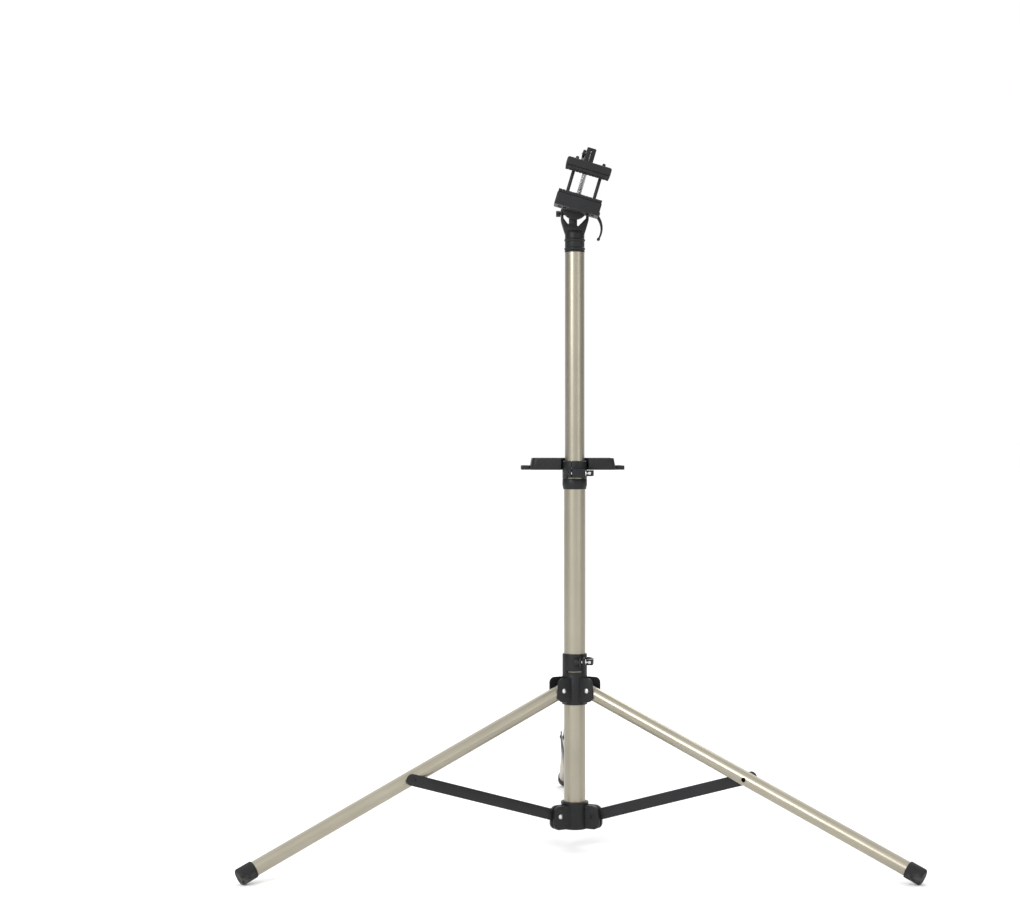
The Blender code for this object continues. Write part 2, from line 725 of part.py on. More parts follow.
def make_tray():
    top = TRAY_BOTTOM + TRAY_HEIGHT
    low, high = TRAY_BOTTOM - PAST, top + PAST
    tray = plate("tool_tray", tray_outline(0.0, 0.0), TRAY_BOTTOM, top)
    middle, half = (TRAY_LEFT + TRAY_RIGHT) / 2, (TRAY_RIGHT - TRAY_LEFT) / 2
    for vertex in tray.data.vertices:
        if vertex.co.z > 0.0:
            vertex.co.x -= (vertex.co.x - middle) / half * TRAY_SLOPE
    rim = TRAY_WALL + TRAY_SLOPE
    pocket = plate("tray_pocket", tray_outline(rim, TRAY_WALL), TRAY_BOTTOM + TRAY_FLOOR, high)
    reach = TRAY_NOTCH_RADIUS
    wall = reach + TRAY_WALL
    ring = rod("notch_wall", wall, (0, 0, low), (0, 0, high + PAST), sides=TUBE_SIDES)
    gate = block("notch_gate", (-wall, TRAY_FRONT - PAST, low), (wall, 0, high + PAST))
    combine(pocket, cut=(ring, gate))
    notch = rod("notch", reach, (0, 0, low), (0, 0, high), sides=TUBE_SIDES)
    mouth = block("notch_mouth", (-reach, TRAY_FRONT - 2 * PAST, low), (reach, 0, high))
    wings, slots = [], []
    wing_top = TRAY_BOTTOM + WING_THICKNESS
    sides = {"left": (TRAY_LEFT, -1), "right": (TRAY_RIGHT, 1)}
    for name, (edge, side) in sides.items():
        inner, outer = edge - side * WING_SINK, edge + side * WING_REACH
        first, last = sorted((inner, outer))
        wings.append(
            block(f"{name}_wing", (first, WING_FRONT, TRAY_BOTTOM + 0.00005), (last, WING_BACK, wing_top))
        )
        middle = edge + side * WING_REACH / 2
        slots.append(
            block(
                f"{name}_wing_slot",
                (middle - WING_SLOT / 2, WING_FRONT + WING_SLOT_END, low),
                (middle + WING_SLOT / 2, WING_BACK - WING_SLOT_END, wing_top + PAST / 2),
            )
        )
    holes = [
        rod(f"tray_{name}_hole", SCREW_RADIUS + GAP, (0, y, low), (0, y, high))
        for name, y in TRAY_SCREWS.items()
    ]
    combine(tray, wings, (pocket, notch, mouth, *slots, *holes))
    part("tool_tray", tray, "black_plastic")
    seat = TRAY_BOTTOM + TRAY_FLOOR + GAP
    length = seat - BRACKET_BOTTOM + 0.002
    for name, y in TRAY_SCREWS.items():
        profile = pin_profile(SCREW_RADIUS, length, SCREW_HEAD_RADIUS, SCREW_HEAD_HEIGHT, heads=1)
        screw = turned("screw", profile, place=(0, y, seat - length / 2), sides=PIN_SIDES)
        part(f"tray_screw_{name}", screw, "black_steel")


# ---------------------------------------------------------------- hub, legs and straps


def make_hub(arms):
    """The hub slides on the lower tube, and its frame is at the height of the leg pivots."""
    frame = frame_empty("hub_frame", (0, 0, LEG_PIVOT_HEIGHT))
    profile = [
        (0.0, HUB_TOP),
        (TOP_COLLAR_RADIUS, HUB_TOP),
        (TOP_COLLAR_RADIUS, HUB_BAND_START + 0.001),
        (HUB_RADIUS, HUB_BAND_START),
        (HUB_RADIUS, HUB_BOTTOM),
        (0.0, HUB_BOTTOM),
    ]
    hub = turned("hub_casting", profile, frame)
    ears, clamp_cuts = band_clamp(
        "hub", frame, HUB_SKEWER_HEIGHT, HUB_SLIT_HEIGHT, HUB_SPLIT_X, HUB_LEVER_X
    )
    lugs, cuts = [ears], []
    outline = rounded(
        [
            (HUB_RADIUS - 0.006, HUB_LUG_BOTTOM, 0),
            (HUB_LUG_REACH, HUB_LUG_BOTTOM, HUB_LUG_CORNERS[0]),
            (HUB_LUG_REACH, HUB_LUG_TOP, HUB_LUG_CORNERS[1]),
            (HUB_RADIUS - 0.006, HUB_LUG_TOP, 0),
        ]
    )
    pivots = {}
    for name, angle in ARMS.items():
        turn = (0, 0, math.radians(angle))
        lug_frame = frame_empty(f"{name}_lug_frame", (0, 0, 0), turn, frame)
        lugs.append(
            plate(f"{name}_hub_lug", outline, -HUB_LUG_HALF, HUB_LUG_HALF, lug_frame, "XZ")
        )
        cuts.append(
            block(
                f"{name}_leg_slot",
                (HUB_SLOT_FLOOR, -HUB_SLOT_HALF, HUB_BOTTOM - PAST),
                (HUB_LUG_REACH + PAST, HUB_SLOT_HALF, HUB_LUG_TOP + PAST / 2),
                lug_frame,
            )
        )
        far = HUB_LUG_HALF + PAST
        reach = LEG_PIVOT_REACH
        hole = PIVOT_PIN_RADIUS + GAP
        cuts.append(rod(f"{name}_leg_pin_hole", hole, (reach, -far, 0), (reach, far, 0), lug_frame))
        length = 2 * (HUB_LUG_HALF + GAP)
        profile = pin_profile(PIVOT_PIN_RADIUS, length, PIN_HEAD_RADIUS, PIN_HEAD_HEIGHT)
        pin = turned("pin", profile, lug_frame, "Y", (reach, 0, 0), sides=PIN_SIDES)
        part(f"leg_pivot_bolt_{name}", pin, "bright_steel")
        pivots[name] = frame_empty(
            f"{name}_leg_frame", (reach, 0, 0), (0, LEG_PITCH, 0), lug_frame
        )
    low, high = (0, 0, HUB_BOTTOM - PAST), (0, 0, HUB_TOP + PAST)
    bore = rod("hub_bore", HUB_BORE, low, high, frame, TUBE_SIDES)
    combine(hub, lugs, (*cuts, bore, *clamp_cuts))
    part("hub_casting", hub, "black_plastic")
    return pivots


def make_leg(name, frame):
    """The leg runs along local X, its axis a little below the pivot at the frame's origin."""
    end = LEG_LENGTH + FOOT_CAP_LENGTH / 2 - FOOT_CAP_END - GAP
    profile = tube_profile(LEG_RADIUS, LEG_RADIUS - LEG_WALL, end, -LEG_TAIL)
    tube = turned("leg", profile, frame, "X", (0, 0, LEG_OFFSET), ring=True, sides=24)
    hole = PIVOT_PIN_RADIUS + RUNNING
    pivot = rod(f"{name}_leg_hole", hole, (0, -0.03, 0), (0, 0.03, 0), frame)
    start, end = (STRAP_AT_LEG, -0.03, LEG_OFFSET), (STRAP_AT_LEG, 0, LEG_OFFSET)
    cross = rod(f"{name}_strap_hole", STRAP_HOLE_RADIUS, start, end, frame)
    folded = frame_empty(f"{name}_folded_frame", (0, 0, 0), (0, -FOLDED_PITCH, 0), frame)
    room = LEG_PIVOT_REACH - HUB_SLOT_FLOOR - RUNNING
    mitre = block(f"{name}_mitre", (-0.05, -0.02, -0.03), (-room, 0.02, 0.03), folded)
    part(f"leg_tube_{name}", combine(tube, cut=(pivot, cross, mitre)), "champagne_paint")

    outer, inner = CAP_RADIUS, LEG_RADIUS + GAP
    half = FOOT_CAP_LENGTH / 2
    soft = CAP_ROUND * 0.3
    profile = [
        (0.0, half),
        (outer - CAP_ROUND, half),
        (outer - soft, half - soft),
        (outer, half - CAP_ROUND),
        (outer, -half + 0.0012),
        (outer - 0.0009, -half),
        (inner, -half),
        (inner, half - FOOT_CAP_END),
        (0.0, half - FOOT_CAP_END),
    ]
    cap = turned("cap", profile, frame, "X", (LEG_LENGTH, 0, LEG_OFFSET), sides=24)
    part(f"foot_cap_{name}", combine(cap, cut=(bpy.data.objects["floor"],)), "black_rubber")


def strap_pose():
    """Length and rise of the strap, from its collar pivot to its point on the leg."""
    along, across = math.cos(LEG_PITCH), math.sin(LEG_PITCH)
    leg_x = LEG_PIVOT_REACH + STRAP_AT_LEG * along + LEG_OFFSET * across
    leg_z = LEG_PIVOT_HEIGHT - STRAP_AT_LEG * across + LEG_OFFSET * along
    run = leg_x - STRAP_PIVOT_REACH
    rise = leg_z - STRAP_PIVOT_HEIGHT
    return math.hypot(run, rise), math.atan2(rise, run)


def make_strap(name, arm):
    length, rise = strap_pose()
    place = (STRAP_PIVOT_REACH, 0, STRAP_PIVOT_HEIGHT)
    frame = frame_empty(f"{name}_strap_frame", place, (0, -rise, 0), arm)
    radius = STRAP_WIDTH / 2
    end = length + STRAP_OVERHANG
    near_side, far_side = COLLAR_LUG_SHIFT, STRAP_LATERAL
    path = [
        Vector((-radius, near_side)),
        Vector((STRAP_STRAIGHT, near_side)),
        Vector((length - STRAP_STRAIGHT, far_side)),
        Vector((end + radius, far_side)),
    ]
    bar = plate("strap", ribbon(path, STRAP_THICKNESS / 2), -0.02, 0.02, frame)
    ends = plate(f"{name}_strap_ends", stadium(0, end, radius), -0.04, 0.04, frame, "XZ")
    trim = bar.modifiers.new("ends", "BOOLEAN")
    trim.operation = "INTERSECT"
    trim.object = ends
    near_hole = rod(f"{name}_near_hole", PIVOT_PIN_RADIUS + RUNNING, (0, -0.03, 0), (0, 0.03, 0), frame)
    far_hole = rod(
        f"{name}_far_hole", PIVOT_PIN_RADIUS + GAP, (length, 0, 0), (length, 0.04, 0), frame
    )
    part(f"strap_{name}", combine(bar, cut=(near_hole, far_hole)), "black_steel")

    inside = LEG_RADIUS + GAP
    outside = STRAP_LATERAL + STRAP_THICKNESS / 2 + GAP
    span = outside - inside
    profile = pin_profile(PIVOT_PIN_RADIUS, span, PIN_HEAD_RADIUS, PIN_HEAD_HEIGHT, heads=1)
    bolt = turned(
        "bolt", profile, frame, "Y", (length, (inside + outside) / 2, 0), sides=PIN_SIDES
    )
    part(f"strap_bolt_{name}", bolt, "black_steel")


# ---------------------------------------------------------------- upper mast and yoke


def make_upper_mast():
    profile = tube_profile(UPPER_TUBE_RADIUS, UPPER_BORE, UPPER_TUBE_TOP, UPPER_TUBE_BOTTOM)
    part("upper_mast_tube", turned("upper", profile, ring=True), "champagne_paint")

    flange = UPPER_TUBE_BOTTOM - GAP
    plug_profile = [
        (0.0, flange + END_PLUG_DEPTH),
        (UPPER_BORE - RUNNING - 0.001, flange + END_PLUG_DEPTH),
        (UPPER_BORE - RUNNING, flange + END_PLUG_DEPTH - 0.001),
        (UPPER_BORE - RUNNING, flange),
        (UPPER_TUBE_RADIUS, flange),
        (UPPER_TUBE_RADIUS, flange - 0.005),
        (0.0, flange - 0.005),
    ]
    part("upper_tube_plug", turned("plug", plug_profile), "black_plastic")


def yoke_outline():
    """Shoulders, two horns and the pillar between them, as seen from the front."""
    inner = HORN_REACH - HORN_THICKNESS
    return rounded(
        [
            (-SOCKET_RADIUS + 0.0015, YOKE_SHOULDER - 0.004, 0),
            (SOCKET_RADIUS - 0.0015, YOKE_SHOULDER - 0.004, 0),
            (SOCKET_RADIUS + 0.0025, YOKE_SHOULDER + 0.008, 0.012),
            (HORN_REACH - 0.0005, YOKE_SHOULDER + 0.024, 0.02),
            (HORN_REACH, HORN_TOP, 0.0018),
            (inner, HORN_TOP, 0.0018),
            (inner - 0.0008, VALLEY_OUTER, 0.002),
            (PILLAR_RIGHT, VALLEY_RIGHT, 0.0015),
            (PILLAR_RIGHT, HEAD_AXIS_HEIGHT, 0),
            (PILLAR_LEFT, HEAD_AXIS_HEIGHT, 0),
            (PILLAR_LEFT, VALLEY_LEFT, 0.0015),
            (-inner + 0.0008, VALLEY_OUTER, 0.002),
            (-inner, HORN_TOP, 0.0018),
            (-HORN_REACH, HORN_TOP, 0.0018),
            (-HORN_REACH + 0.0005, YOKE_SHOULDER + 0.024, 0.02),
            (-SOCKET_RADIUS - 0.0025, YOKE_SHOULDER + 0.008, 0.012),
        ],
        steps=4,
    )


def make_yoke():
    foot = UPPER_TUBE_TOP + GAP
    spigot = UPPER_BORE - GAP
    low_ring, high_ring = (foot + height for height in SOCKET_RINGS)
    profile = [
        (0.0, YOKE_SHOULDER + 0.006),
        (SOCKET_RADIUS - 0.004, YOKE_SHOULDER + 0.006),
        (SOCKET_RADIUS, YOKE_SHOULDER),
        (SOCKET_RADIUS, high_ring + 0.0025),
        (SOCKET_RING_RADIUS, high_ring),
        (SOCKET_RADIUS, high_ring - 0.0035),
        (SOCKET_RADIUS, low_ring + 0.0035),
        (SOCKET_RING_RADIUS, low_ring),
        (SOCKET_RADIUS + 0.0004, foot),
        (spigot, foot),
        (spigot, foot - SPIGOT_LENGTH),
        (0.0, foot - SPIGOT_LENGTH),
    ]
    yoke = turned("yoke", profile)
    half = YOKE_DEPTH / 2
    fork = plate("fork", yoke_outline(), -half, half, plane="XZ")
    ring_end = half + SHAFT_RING_STAND
    middle = HEAD_AXIS_HEIGHT
    ring = rod("shaft_ring", SHAFT_RING_RADIUS, (0, -ring_end, middle), (0, ring_end, middle), sides=24)
    bore = rod("shaft_bore", SHAFT_RADIUS + RUNNING, (0, -0.1, middle), (0, 0.1, middle), sides=20)
    low = foot - SPIGOT_LENGTH - PAST
    hollow = rod("spigot_bore", SPIGOT_BORE, (0, 0, low), (0, 0, YOKE_SHOULDER - 0.004))
    skewer_hole = rod(
        "head_skewer_hole",
        SKEWER_RADIUS + GAP,
        (-0.05, 0, HEAD_SKEWER_HEIGHT),
        (0.05, 0, HEAD_SKEWER_HEIGHT),
    )
    side = PILLAR_SPLIT / 2
    split = block(
        "pillar_split", (-side, -0.05, PILLAR_SPLIT_BOTTOM), (side, 0.05, middle - SHAFT_RADIUS / 2)
    )
    combine(yoke, (fork, ring), (bore, hollow, skewer_hole, split))
    part("mast_head", yoke, "black_plastic")
    place, turn = (HEAD_LEVER_X, 0, HEAD_SKEWER_HEIGHT), (-math.pi / 2, 0, 0)
    frame = frame_empty("head_cam_frame", place, turn)
    face = HORN_REACH + GAP
    cam_set("head", frame, -face - HEAD_LEVER_X, face - HEAD_LEVER_X, HEAD_LEVER, "black_steel")


# ---------------------------------------------------------------- clamp


def make_jaw_bolts(frame, face):
    """Two bolts, sunk in the disc, that hold the lower jaw. Returns the holes they need."""
    end = DISC_FRONT - JAW_BOLT_DEPTH
    shoulder = face - SCREW_HEAD_HEIGHT - 2 * GAP
    length = shoulder - end
    cuts = []
    for name, x in JAW_BOLTS.items():
        place = (x, (shoulder + end) / 2, JAW_BOLT_HEIGHT)
        profile = pin_profile(SCREW_RADIUS, length, SCREW_HEAD_RADIUS, SCREW_HEAD_HEIGHT, heads=1)
        bolt = turned("bolt", profile, frame, "Y", place, sides=PIN_SIDES)
        part(f"jaw_bolt_{name}", bolt, "bright_steel")
        hole = SCREW_RADIUS + GAP
        start, low = (x, end - GAP, JAW_BOLT_HEIGHT), (x, shoulder - GAP, JAW_BOLT_HEIGHT)
        cuts.append(rod(f"jaw_bolt_{name}_hole", hole, start, (x, 0.02, JAW_BOLT_HEIGHT), frame))
        wide = SCREW_HEAD_RADIUS + GAP
        cuts.append(rod(f"jaw_bolt_{name}_recess", wide, low, (x, 0.02, JAW_BOLT_HEIGHT), frame))
    return cuts


def make_clamp_shaft(frame):
    """The shaft turns in the yoke's ring. Heights of this profile run along +Y."""
    back = -CLAMP_FRONT
    tail = back + GAP + SHAFT_NUT_HEIGHT + SHAFT_END
    face = CLAMP_FRONT - GAP
    profile = [
        (0.0, tail),
        (SHAFT_RADIUS - 0.0008, tail),
        (SHAFT_RADIUS, tail - 0.0008),
        (SHAFT_RADIUS, face),
        (DISC_RADIUS - 0.001, face),
        (DISC_RADIUS, face - 0.001),
        (DISC_RADIUS, DISC_FRONT + 0.001),
        (DISC_RADIUS - 0.001, DISC_FRONT),
        (0.0, DISC_FRONT),
    ]
    shaft = turned("shaft", profile, frame, "Y", sides=28)
    part("clamp_shaft", combine(shaft, cut=make_jaw_bolts(frame, face)), "black_steel")
    start = back + GAP
    nut = rod(
        "shaft_nut", SHAFT_NUT_RADIUS, (0, start, 0), (0, start + SHAFT_NUT_HEIGHT, 0), frame, 6
    )
    bore = rod("shaft_nut_bore", SHAFT_RADIUS + GAP, (0, 0, 0), (0, 0.05, 0), frame)
    part("shaft_nut", combine(nut, cut=(bore,)), "bright_steel")


def pad(name, frame, low, high, groove_height, groove_sign):
    left = JAW_CENTRE - JAW_LENGTH / 2 + PAD_INSET
    right = JAW_CENTRE + JAW_LENGTH / 2 - PAD_INSET
    front = JAW_FRONT + PAD_INSET
    solid = block(name, (left, front, low), (right, PAD_BACK, high), frame)
    middle = (front + PAD_BACK) / 2
    centre = groove_height + groove_sign * (GROOVE_RADIUS - GROOVE_DEPTH)
    groove = rod(
        name + "_groove",
        GROOVE_RADIUS,
        (left - 0.01, middle, centre),
        (right + 0.01, middle, centre),
        frame,
        40,
    )
    part(name, combine(solid, cut=(groove,)), "black_rubber")


def jaw_block(name, frame, low, high):
    left = JAW_CENTRE - JAW_LENGTH / 2
    right = JAW_CENTRE + JAW_LENGTH / 2
    back = DISC_FRONT - GAP
    return block(name, (left, JAW_FRONT, low), (right, back, high), frame, bevel=0.0022)


def make_jaws(frame):
    """Both jaws with their pads. The spindle and two guide pins stand in the lower one."""
    slider = frame_empty("upper_jaw_frame", (0, 0, 0), parent=frame)
    lower = jaw_block("lower", frame, LOWER_JAW_BOTTOM, LOWER_JAW_TOP)
    upper = jaw_block("upper", slider, UPPER_JAW_BOTTOM, UPPER_JAW_TOP)
    seats = [bpy.data.objects[f"jaw_bolt_{name}_hole"] for name in JAW_BOLTS]
    bores = []
    rods = {"jaw_spindle": (0.0, SPINDLE_RADIUS, SPINDLE_TOP, "bright_steel")}
    for name, x in GUIDES.items():
        rods[f"jaw_guide_pin_{name}"] = (x, GUIDE_RADIUS, GUIDE_TOP, "black_steel")
    for name, (x, radius, top, finish) in rods.items():
        start, end = (x, SPINDLE_BACK, ROD_SEAT), (x, SPINDLE_BACK, top)
        part(name, rod(name, radius, start, end, frame), finish)
        start, end = (x, SPINDLE_BACK, ROD_SEAT - GAP), (x, SPINDLE_BACK, LOWER_PAD_TOP + PAST)
        seats.append(rod(name + "_seat", radius + GAP, start, end, frame))
        start, end = (x, SPINDLE_BACK, UPPER_PAD_BOTTOM - PAST), (x, SPINDLE_BACK, POST_TOP + PAST)
        bores.append(rod(name + "_bore", radius + RUNNING, start, end, slider))
    part("lower_jaw", combine(lower, cut=seats), "black_plastic")
    part("upper_jaw", combine(upper, cut=bores), "black_plastic")
    pad("lower_jaw_pad", frame, LOWER_JAW_TOP + GAP, LOWER_PAD_TOP, LOWER_PAD_TOP, 1)
    pad("upper_jaw_pad", slider, UPPER_PAD_BOTTOM, UPPER_JAW_BOTTOM - GAP, UPPER_PAD_BOTTOM, -1)
    return slider, bores[0]


def make_clamp_top(slider, spindle_bore):
    """Washer, adjusting nut and cam lever that press the upper jaw down."""
    washer_low = UPPER_JAW_TOP + GAP
    washer_high = washer_low + WASHER_HEIGHT
    place = Vector((0, SPINDLE_BACK, 0))
    washer = rod(
        "washer",
        WASHER_RADIUS,
        place + Vector((0, 0, washer_low)),
        place + Vector((0, 0, washer_high)),
        slider,
        20,
    )
    part("clamp_washer", combine(washer, cut=(spindle_bore,)), "bright_steel")

    half = POST_WIDTH / 2
    low = washer_high + GAP
    post = block(
        "post",
        (-half, SPINDLE_BACK - half, low),
        (half, SPINDLE_BACK + half, POST_TOP),
        slider,
        bevel=0.002,
    )
    slot = block(
        "post_slot",
        (-POST_SLOT / 2, SPINDLE_BACK - half - PAST, low + POST_SLOT_END),
        (POST_SLOT / 2, SPINDLE_BACK, POST_TOP - POST_SLOT_END),
        slider,
    )
    pin_inner = -SPINDLE_RADIUS - RUNNING - 2 * GAP
    pin_outer = -half - GAP - CLAMP_CAM_WIDTH - GAP
    cam_height = CLAMP_CAM_HEIGHT
    hole = rod(
        "post_pin_hole",
        CLAMP_PIN_RADIUS + GAP,
        (-0.03, SPINDLE_BACK, cam_height),
        (pin_inner + GAP, SPINDLE_BACK, cam_height),
        slider,
    )
    part("clamp_nut", combine(post, cut=(spindle_bore, slot, hole)), "black_plastic")

    span = pin_inner - pin_outer
    profile = pin_profile(
        CLAMP_PIN_RADIUS, span, CLAMP_PIN_HEAD_RADIUS, CLAMP_PIN_HEAD_HEIGHT, heads=1
    )
    middle = (pin_inner + pin_outer) / 2
    pin = turned("pin", profile, slider, "X", (middle, SPINDLE_BACK, cam_height), sides=PIN_SIDES)
    pin.rotation_euler = (0, -math.pi / 2, 0)
    part("clamp_cam_pin", pin, "bright_steel")

    cam_middle = -half - GAP - CLAMP_CAM_WIDTH / 2
    cam_frame = frame_empty(
        "clamp_cam_frame", (cam_middle, SPINDLE_BACK, cam_height), (0, math.pi / 2, 0), slider
    )
    lever = lever_solid(
        "clamp_lever",
        cam_frame,
        *CLAMP_LEVER,
        cam=CLAMP_CAM_RADIUS,
        height=CLAMP_CAM_WIDTH,
    )
    eye = rod("clamp_lever_hole", CLAMP_PIN_RADIUS + GAP, (0, 0, -0.01), (0, 0, 0.01), cam_frame)
    part("clamp_lever", combine(lever, cut=(eye,)), "black_plastic")


def make_clamp():
    frame = frame_empty("clamp_frame", (0, 0, HEAD_AXIS_HEIGHT), (0, CLAMP_TILT, 0))
    make_clamp_shaft(frame)
    slider, spindle_bore = make_jaws(frame)
    make_clamp_top(slider, spindle_bore)


def main():
    clear_scene()
    new_collection("bike_repair_stand")
    new_collection("cutters")
    make_materials()
    block("floor", (-1, -1, -0.1), (1, 1, 0))
    make_lower_tube()
    arms = arm_frames()
    make_bottom_collar(arms)
    make_top_collar()
    make_tray()
    pivots = make_hub(arms)
    for name, arm in arms.items():
        make_leg(name, pivots[name])
        make_strap(name, arm)
    make_upper_mast()
    make_yoke()
    make_clamp()


main()
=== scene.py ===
"""Folding bike repair stand: the finished look of the tripod, the telescopic mast, the tool tray
and the turning tube clamp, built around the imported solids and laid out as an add-on."""

import json
import math

import bpy
from bpy.props import FloatProperty, FloatVectorProperty, IntProperty, PointerProperty
from bpy.types import Operator, Panel, PropertyGroup
from mathutils import Matrix, Vector


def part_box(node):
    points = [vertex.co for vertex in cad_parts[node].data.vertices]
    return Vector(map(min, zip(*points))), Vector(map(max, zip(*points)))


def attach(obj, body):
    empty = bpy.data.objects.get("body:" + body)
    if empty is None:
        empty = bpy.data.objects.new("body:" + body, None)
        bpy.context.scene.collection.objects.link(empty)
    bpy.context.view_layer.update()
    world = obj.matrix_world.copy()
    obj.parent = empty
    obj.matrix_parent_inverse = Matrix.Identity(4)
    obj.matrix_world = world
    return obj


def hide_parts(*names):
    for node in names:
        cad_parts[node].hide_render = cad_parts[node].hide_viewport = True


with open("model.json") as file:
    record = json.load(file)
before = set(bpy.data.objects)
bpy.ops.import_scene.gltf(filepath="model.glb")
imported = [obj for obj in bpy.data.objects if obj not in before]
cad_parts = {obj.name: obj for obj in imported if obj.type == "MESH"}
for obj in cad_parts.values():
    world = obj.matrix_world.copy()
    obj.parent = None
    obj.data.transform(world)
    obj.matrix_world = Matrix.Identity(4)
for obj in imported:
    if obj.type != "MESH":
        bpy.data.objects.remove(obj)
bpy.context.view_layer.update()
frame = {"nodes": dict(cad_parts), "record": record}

bl_info = {
    "name": "Bike repair stand",
    "version": (1, 0, 0),
    "blender": (4, 5, 0),
    "location": "3D View > Sidebar > Repair stand",
    "description": "Builds the fine surfaces and finishes of a folding bike repair stand",
    "category": "Object",
}

JOINTS = {joint["name"]: joint for joint in frame["record"]["behaviour"]["joints"]}
ARMS = ("rear", "left", "right")
GAP = 0.0003  # between two pieces that touch
EAR = 0.0048  # thickness of a pinch ear
# Lever shapes: reach, bulge, sideways shift of the end, radius of the knob.
BAND_LEVER = (0.044, 0.0062, 0.0, 0.003)
HEAD_LEVER = (0.045, 0.0072, 0.0035, 0.0028)
CLAMP_LEVER = (0.066, -0.0030, 0.0060, 0.0032)


# ---------------------------------------------------------------- places taken from the frame


def joint_point(name):
    return Vector(JOINTS[name]["pos_m"])


def arm_angle(name):
    """Which way a leg points, from the axis that it folds about."""
    axis = JOINTS[f"leg_fold_{name}"]["axis"]
    return math.atan2(-axis[0], axis[1])


def turn(angle, axis):
    return Matrix.Rotation(angle, 4, axis)


def lug_place(name, joint):
    """The frame of a lug: local X points outwards from the mast, at the height of the joint."""
    height = joint_point(joint).z
    return Matrix.Translation((0, 0, height)) @ turn(arm_angle(name), "Z")


def joint_reach(joint):
    """How far a joint stands from the mast axis."""
    return joint_point(joint).to_2d().length


def leg_place(name, pitch):
    pivot = joint_point(f"leg_fold_{name}")
    return Matrix.Translation(pivot) @ turn(arm_angle(name), "Z") @ turn(pitch, "Y")


def strap_place(name, rise):
    pivot = joint_point(f"strap_fold_{name}")
    return Matrix.Translation(pivot) @ turn(arm_angle(name), "Z") @ turn(-rise, "Y")


def clamp_place():
    slide = JOINTS["upper_jaw_slide"]["axis"]
    tilt = math.atan2(slide[0], slide[2])
    return Matrix.Translation(joint_point("head_turn")) @ turn(tilt, "Y")


def node_span(node, axis):
    """Lowest and highest value of a CAD node along one axis."""
    low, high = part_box(node)
    return low[axis], high[axis]


# ---------------------------------------------------------------- sizes and colours


def size(name, description, default):
    return FloatProperty(
        name=name, description=description, default=default, unit="LENGTH", precision=5
    )


def colour(name, description, default):
    return FloatVectorProperty(
        name=name, description=description, default=default, subtype="COLOR", min=0.0, max=1.0
    )


class MastSizes(PropertyGroup):
    """Tubes, collars and tray."""

    lower_radius: size("Lower tube radius", "Outside of the lower mast tube", 0.019)
    lower_wall: size("Lower tube wall", "Thickness of the lower tube", 0.0013)
    upper_radius: size("Upper tube radius", "Outside of the upper mast tube", 0.0173)
    upper_wall: size("Upper tube wall", "Thickness of the upper tube", 0.0015)
    collar_radius: size("Foot collar radius", "Outside of the collar at the mast's foot", 0.0235)
    collar_lug_reach: size("Foot lug reach", "Mast axis to the end of a strap lug", 0.0495)
    collar_lug_width: size("Foot lug width", "Across a strap lug", 0.018)
    collar_lug_shift: size("Foot lug shift", "How far the strap lugs sit to the left of each leg", 0.004)
    band_radius: size("Band radius", "Outside of the pinch bands", 0.0218)
    tray_wall: size("Tray wall", "Thickness of the tray's rim", 0.0025)
    tray_floor: size("Tray floor", "Thickness of the tray's floor", 0.003)
    tray_notch: size("Tray notch", "Radius of the notch round the mast", 0.0245)
    wing_reach: size("Wing reach", "How far a tool wing stands out from the tray", 0.016)
    wing_thickness: size("Wing thickness", "Thickness of a tool wing", 0.0075)
    tray_slope: size("Tray slope", "How far the rim stands in from the floor at each side", 0.0036)


class TripodSizes(PropertyGroup):
    """Hub, legs and straps."""

    hub_radius: size("Hub radius", "Outside of the hub's sleeve", 0.0225)
    hub_lug_reach: size("Hub lug reach", "Mast axis to the end of a leg lug", 0.0435)
    hub_ear: size("Hub ear", "Thickness of one ear of a lug", 0.003)
    leg_radius: size("Leg radius", "Outside of a leg tube", 0.0125)
    leg_wall: size("Leg wall", "Thickness of a leg tube", 0.0014)
    leg_length: size("Leg length", "Pivot to the middle of the foot cap", 0.6474)
    leg_offset: size("Leg offset", "Leg axis above its pivot, across the leg", -0.003)
    leg_pitch: FloatProperty(
        name="Leg pitch",
        description="Slope of an open leg below the horizontal",
        default=math.radians(23.47),
        subtype="ANGLE",
    )
    strap_at_leg: size("Strap at leg", "Leg pivot to strap bolt, along the leg", 0.325)
    strap_width: size("Strap width", "Across the flat of a strap", 0.020)
    strap_thickness: size("Strap thickness", "Thickness of a strap", 0.003)
    strap_overhang: size("Strap overhang", "Strap past its bolt on the leg", 0.003)
    cap_radius: size("Foot cap radius", "Outside of a rubber foot cap", 0.0144)
    cap_length: size("Foot cap length", "Length of a rubber foot cap", 0.0292)


class ClampSizes(PropertyGroup):
    """Quick releases, yoke and jaws."""

    skewer_radius: size("Skewer radius", "Rod of a quick release", 0.0025)
    cam_radius: size("Cam radius", "Head of a cam lever", 0.0062)
    cam_height: size("Cam height", "Width of a cam lever along its pin", 0.010)
    lever_thickness: size("Lever thickness", "Thickness of a cam lever's arm", 0.004)
    yoke_depth: size("Yoke depth", "Yoke from front to back", 0.022)
    disc_radius: size("Disc radius", "Front disc of the clamp shaft", 0.0234)
    disc_thickness: size("Disc thickness", "Front disc of the clamp shaft", 0.0135)
    jaw_length: size("Jaw length", "Length of both jaws", 0.080)
    jaw_centre: size("Jaw centre", "Middle of the jaws beside the head axis", 0.0037)
    mouth: size("Mouth", "Gap between the pads", 0.0398)
    thread_pitch: size("Thread pitch", "Pitch of the clamp spindle's thread", 0.002)
    spindle_back: size("Spindle place", "Spindle in front of the head axis", -0.0335)
    round_sides: IntProperty(
        name="Round sides", description="Sides of a fine round section", default=72, min=12
    )


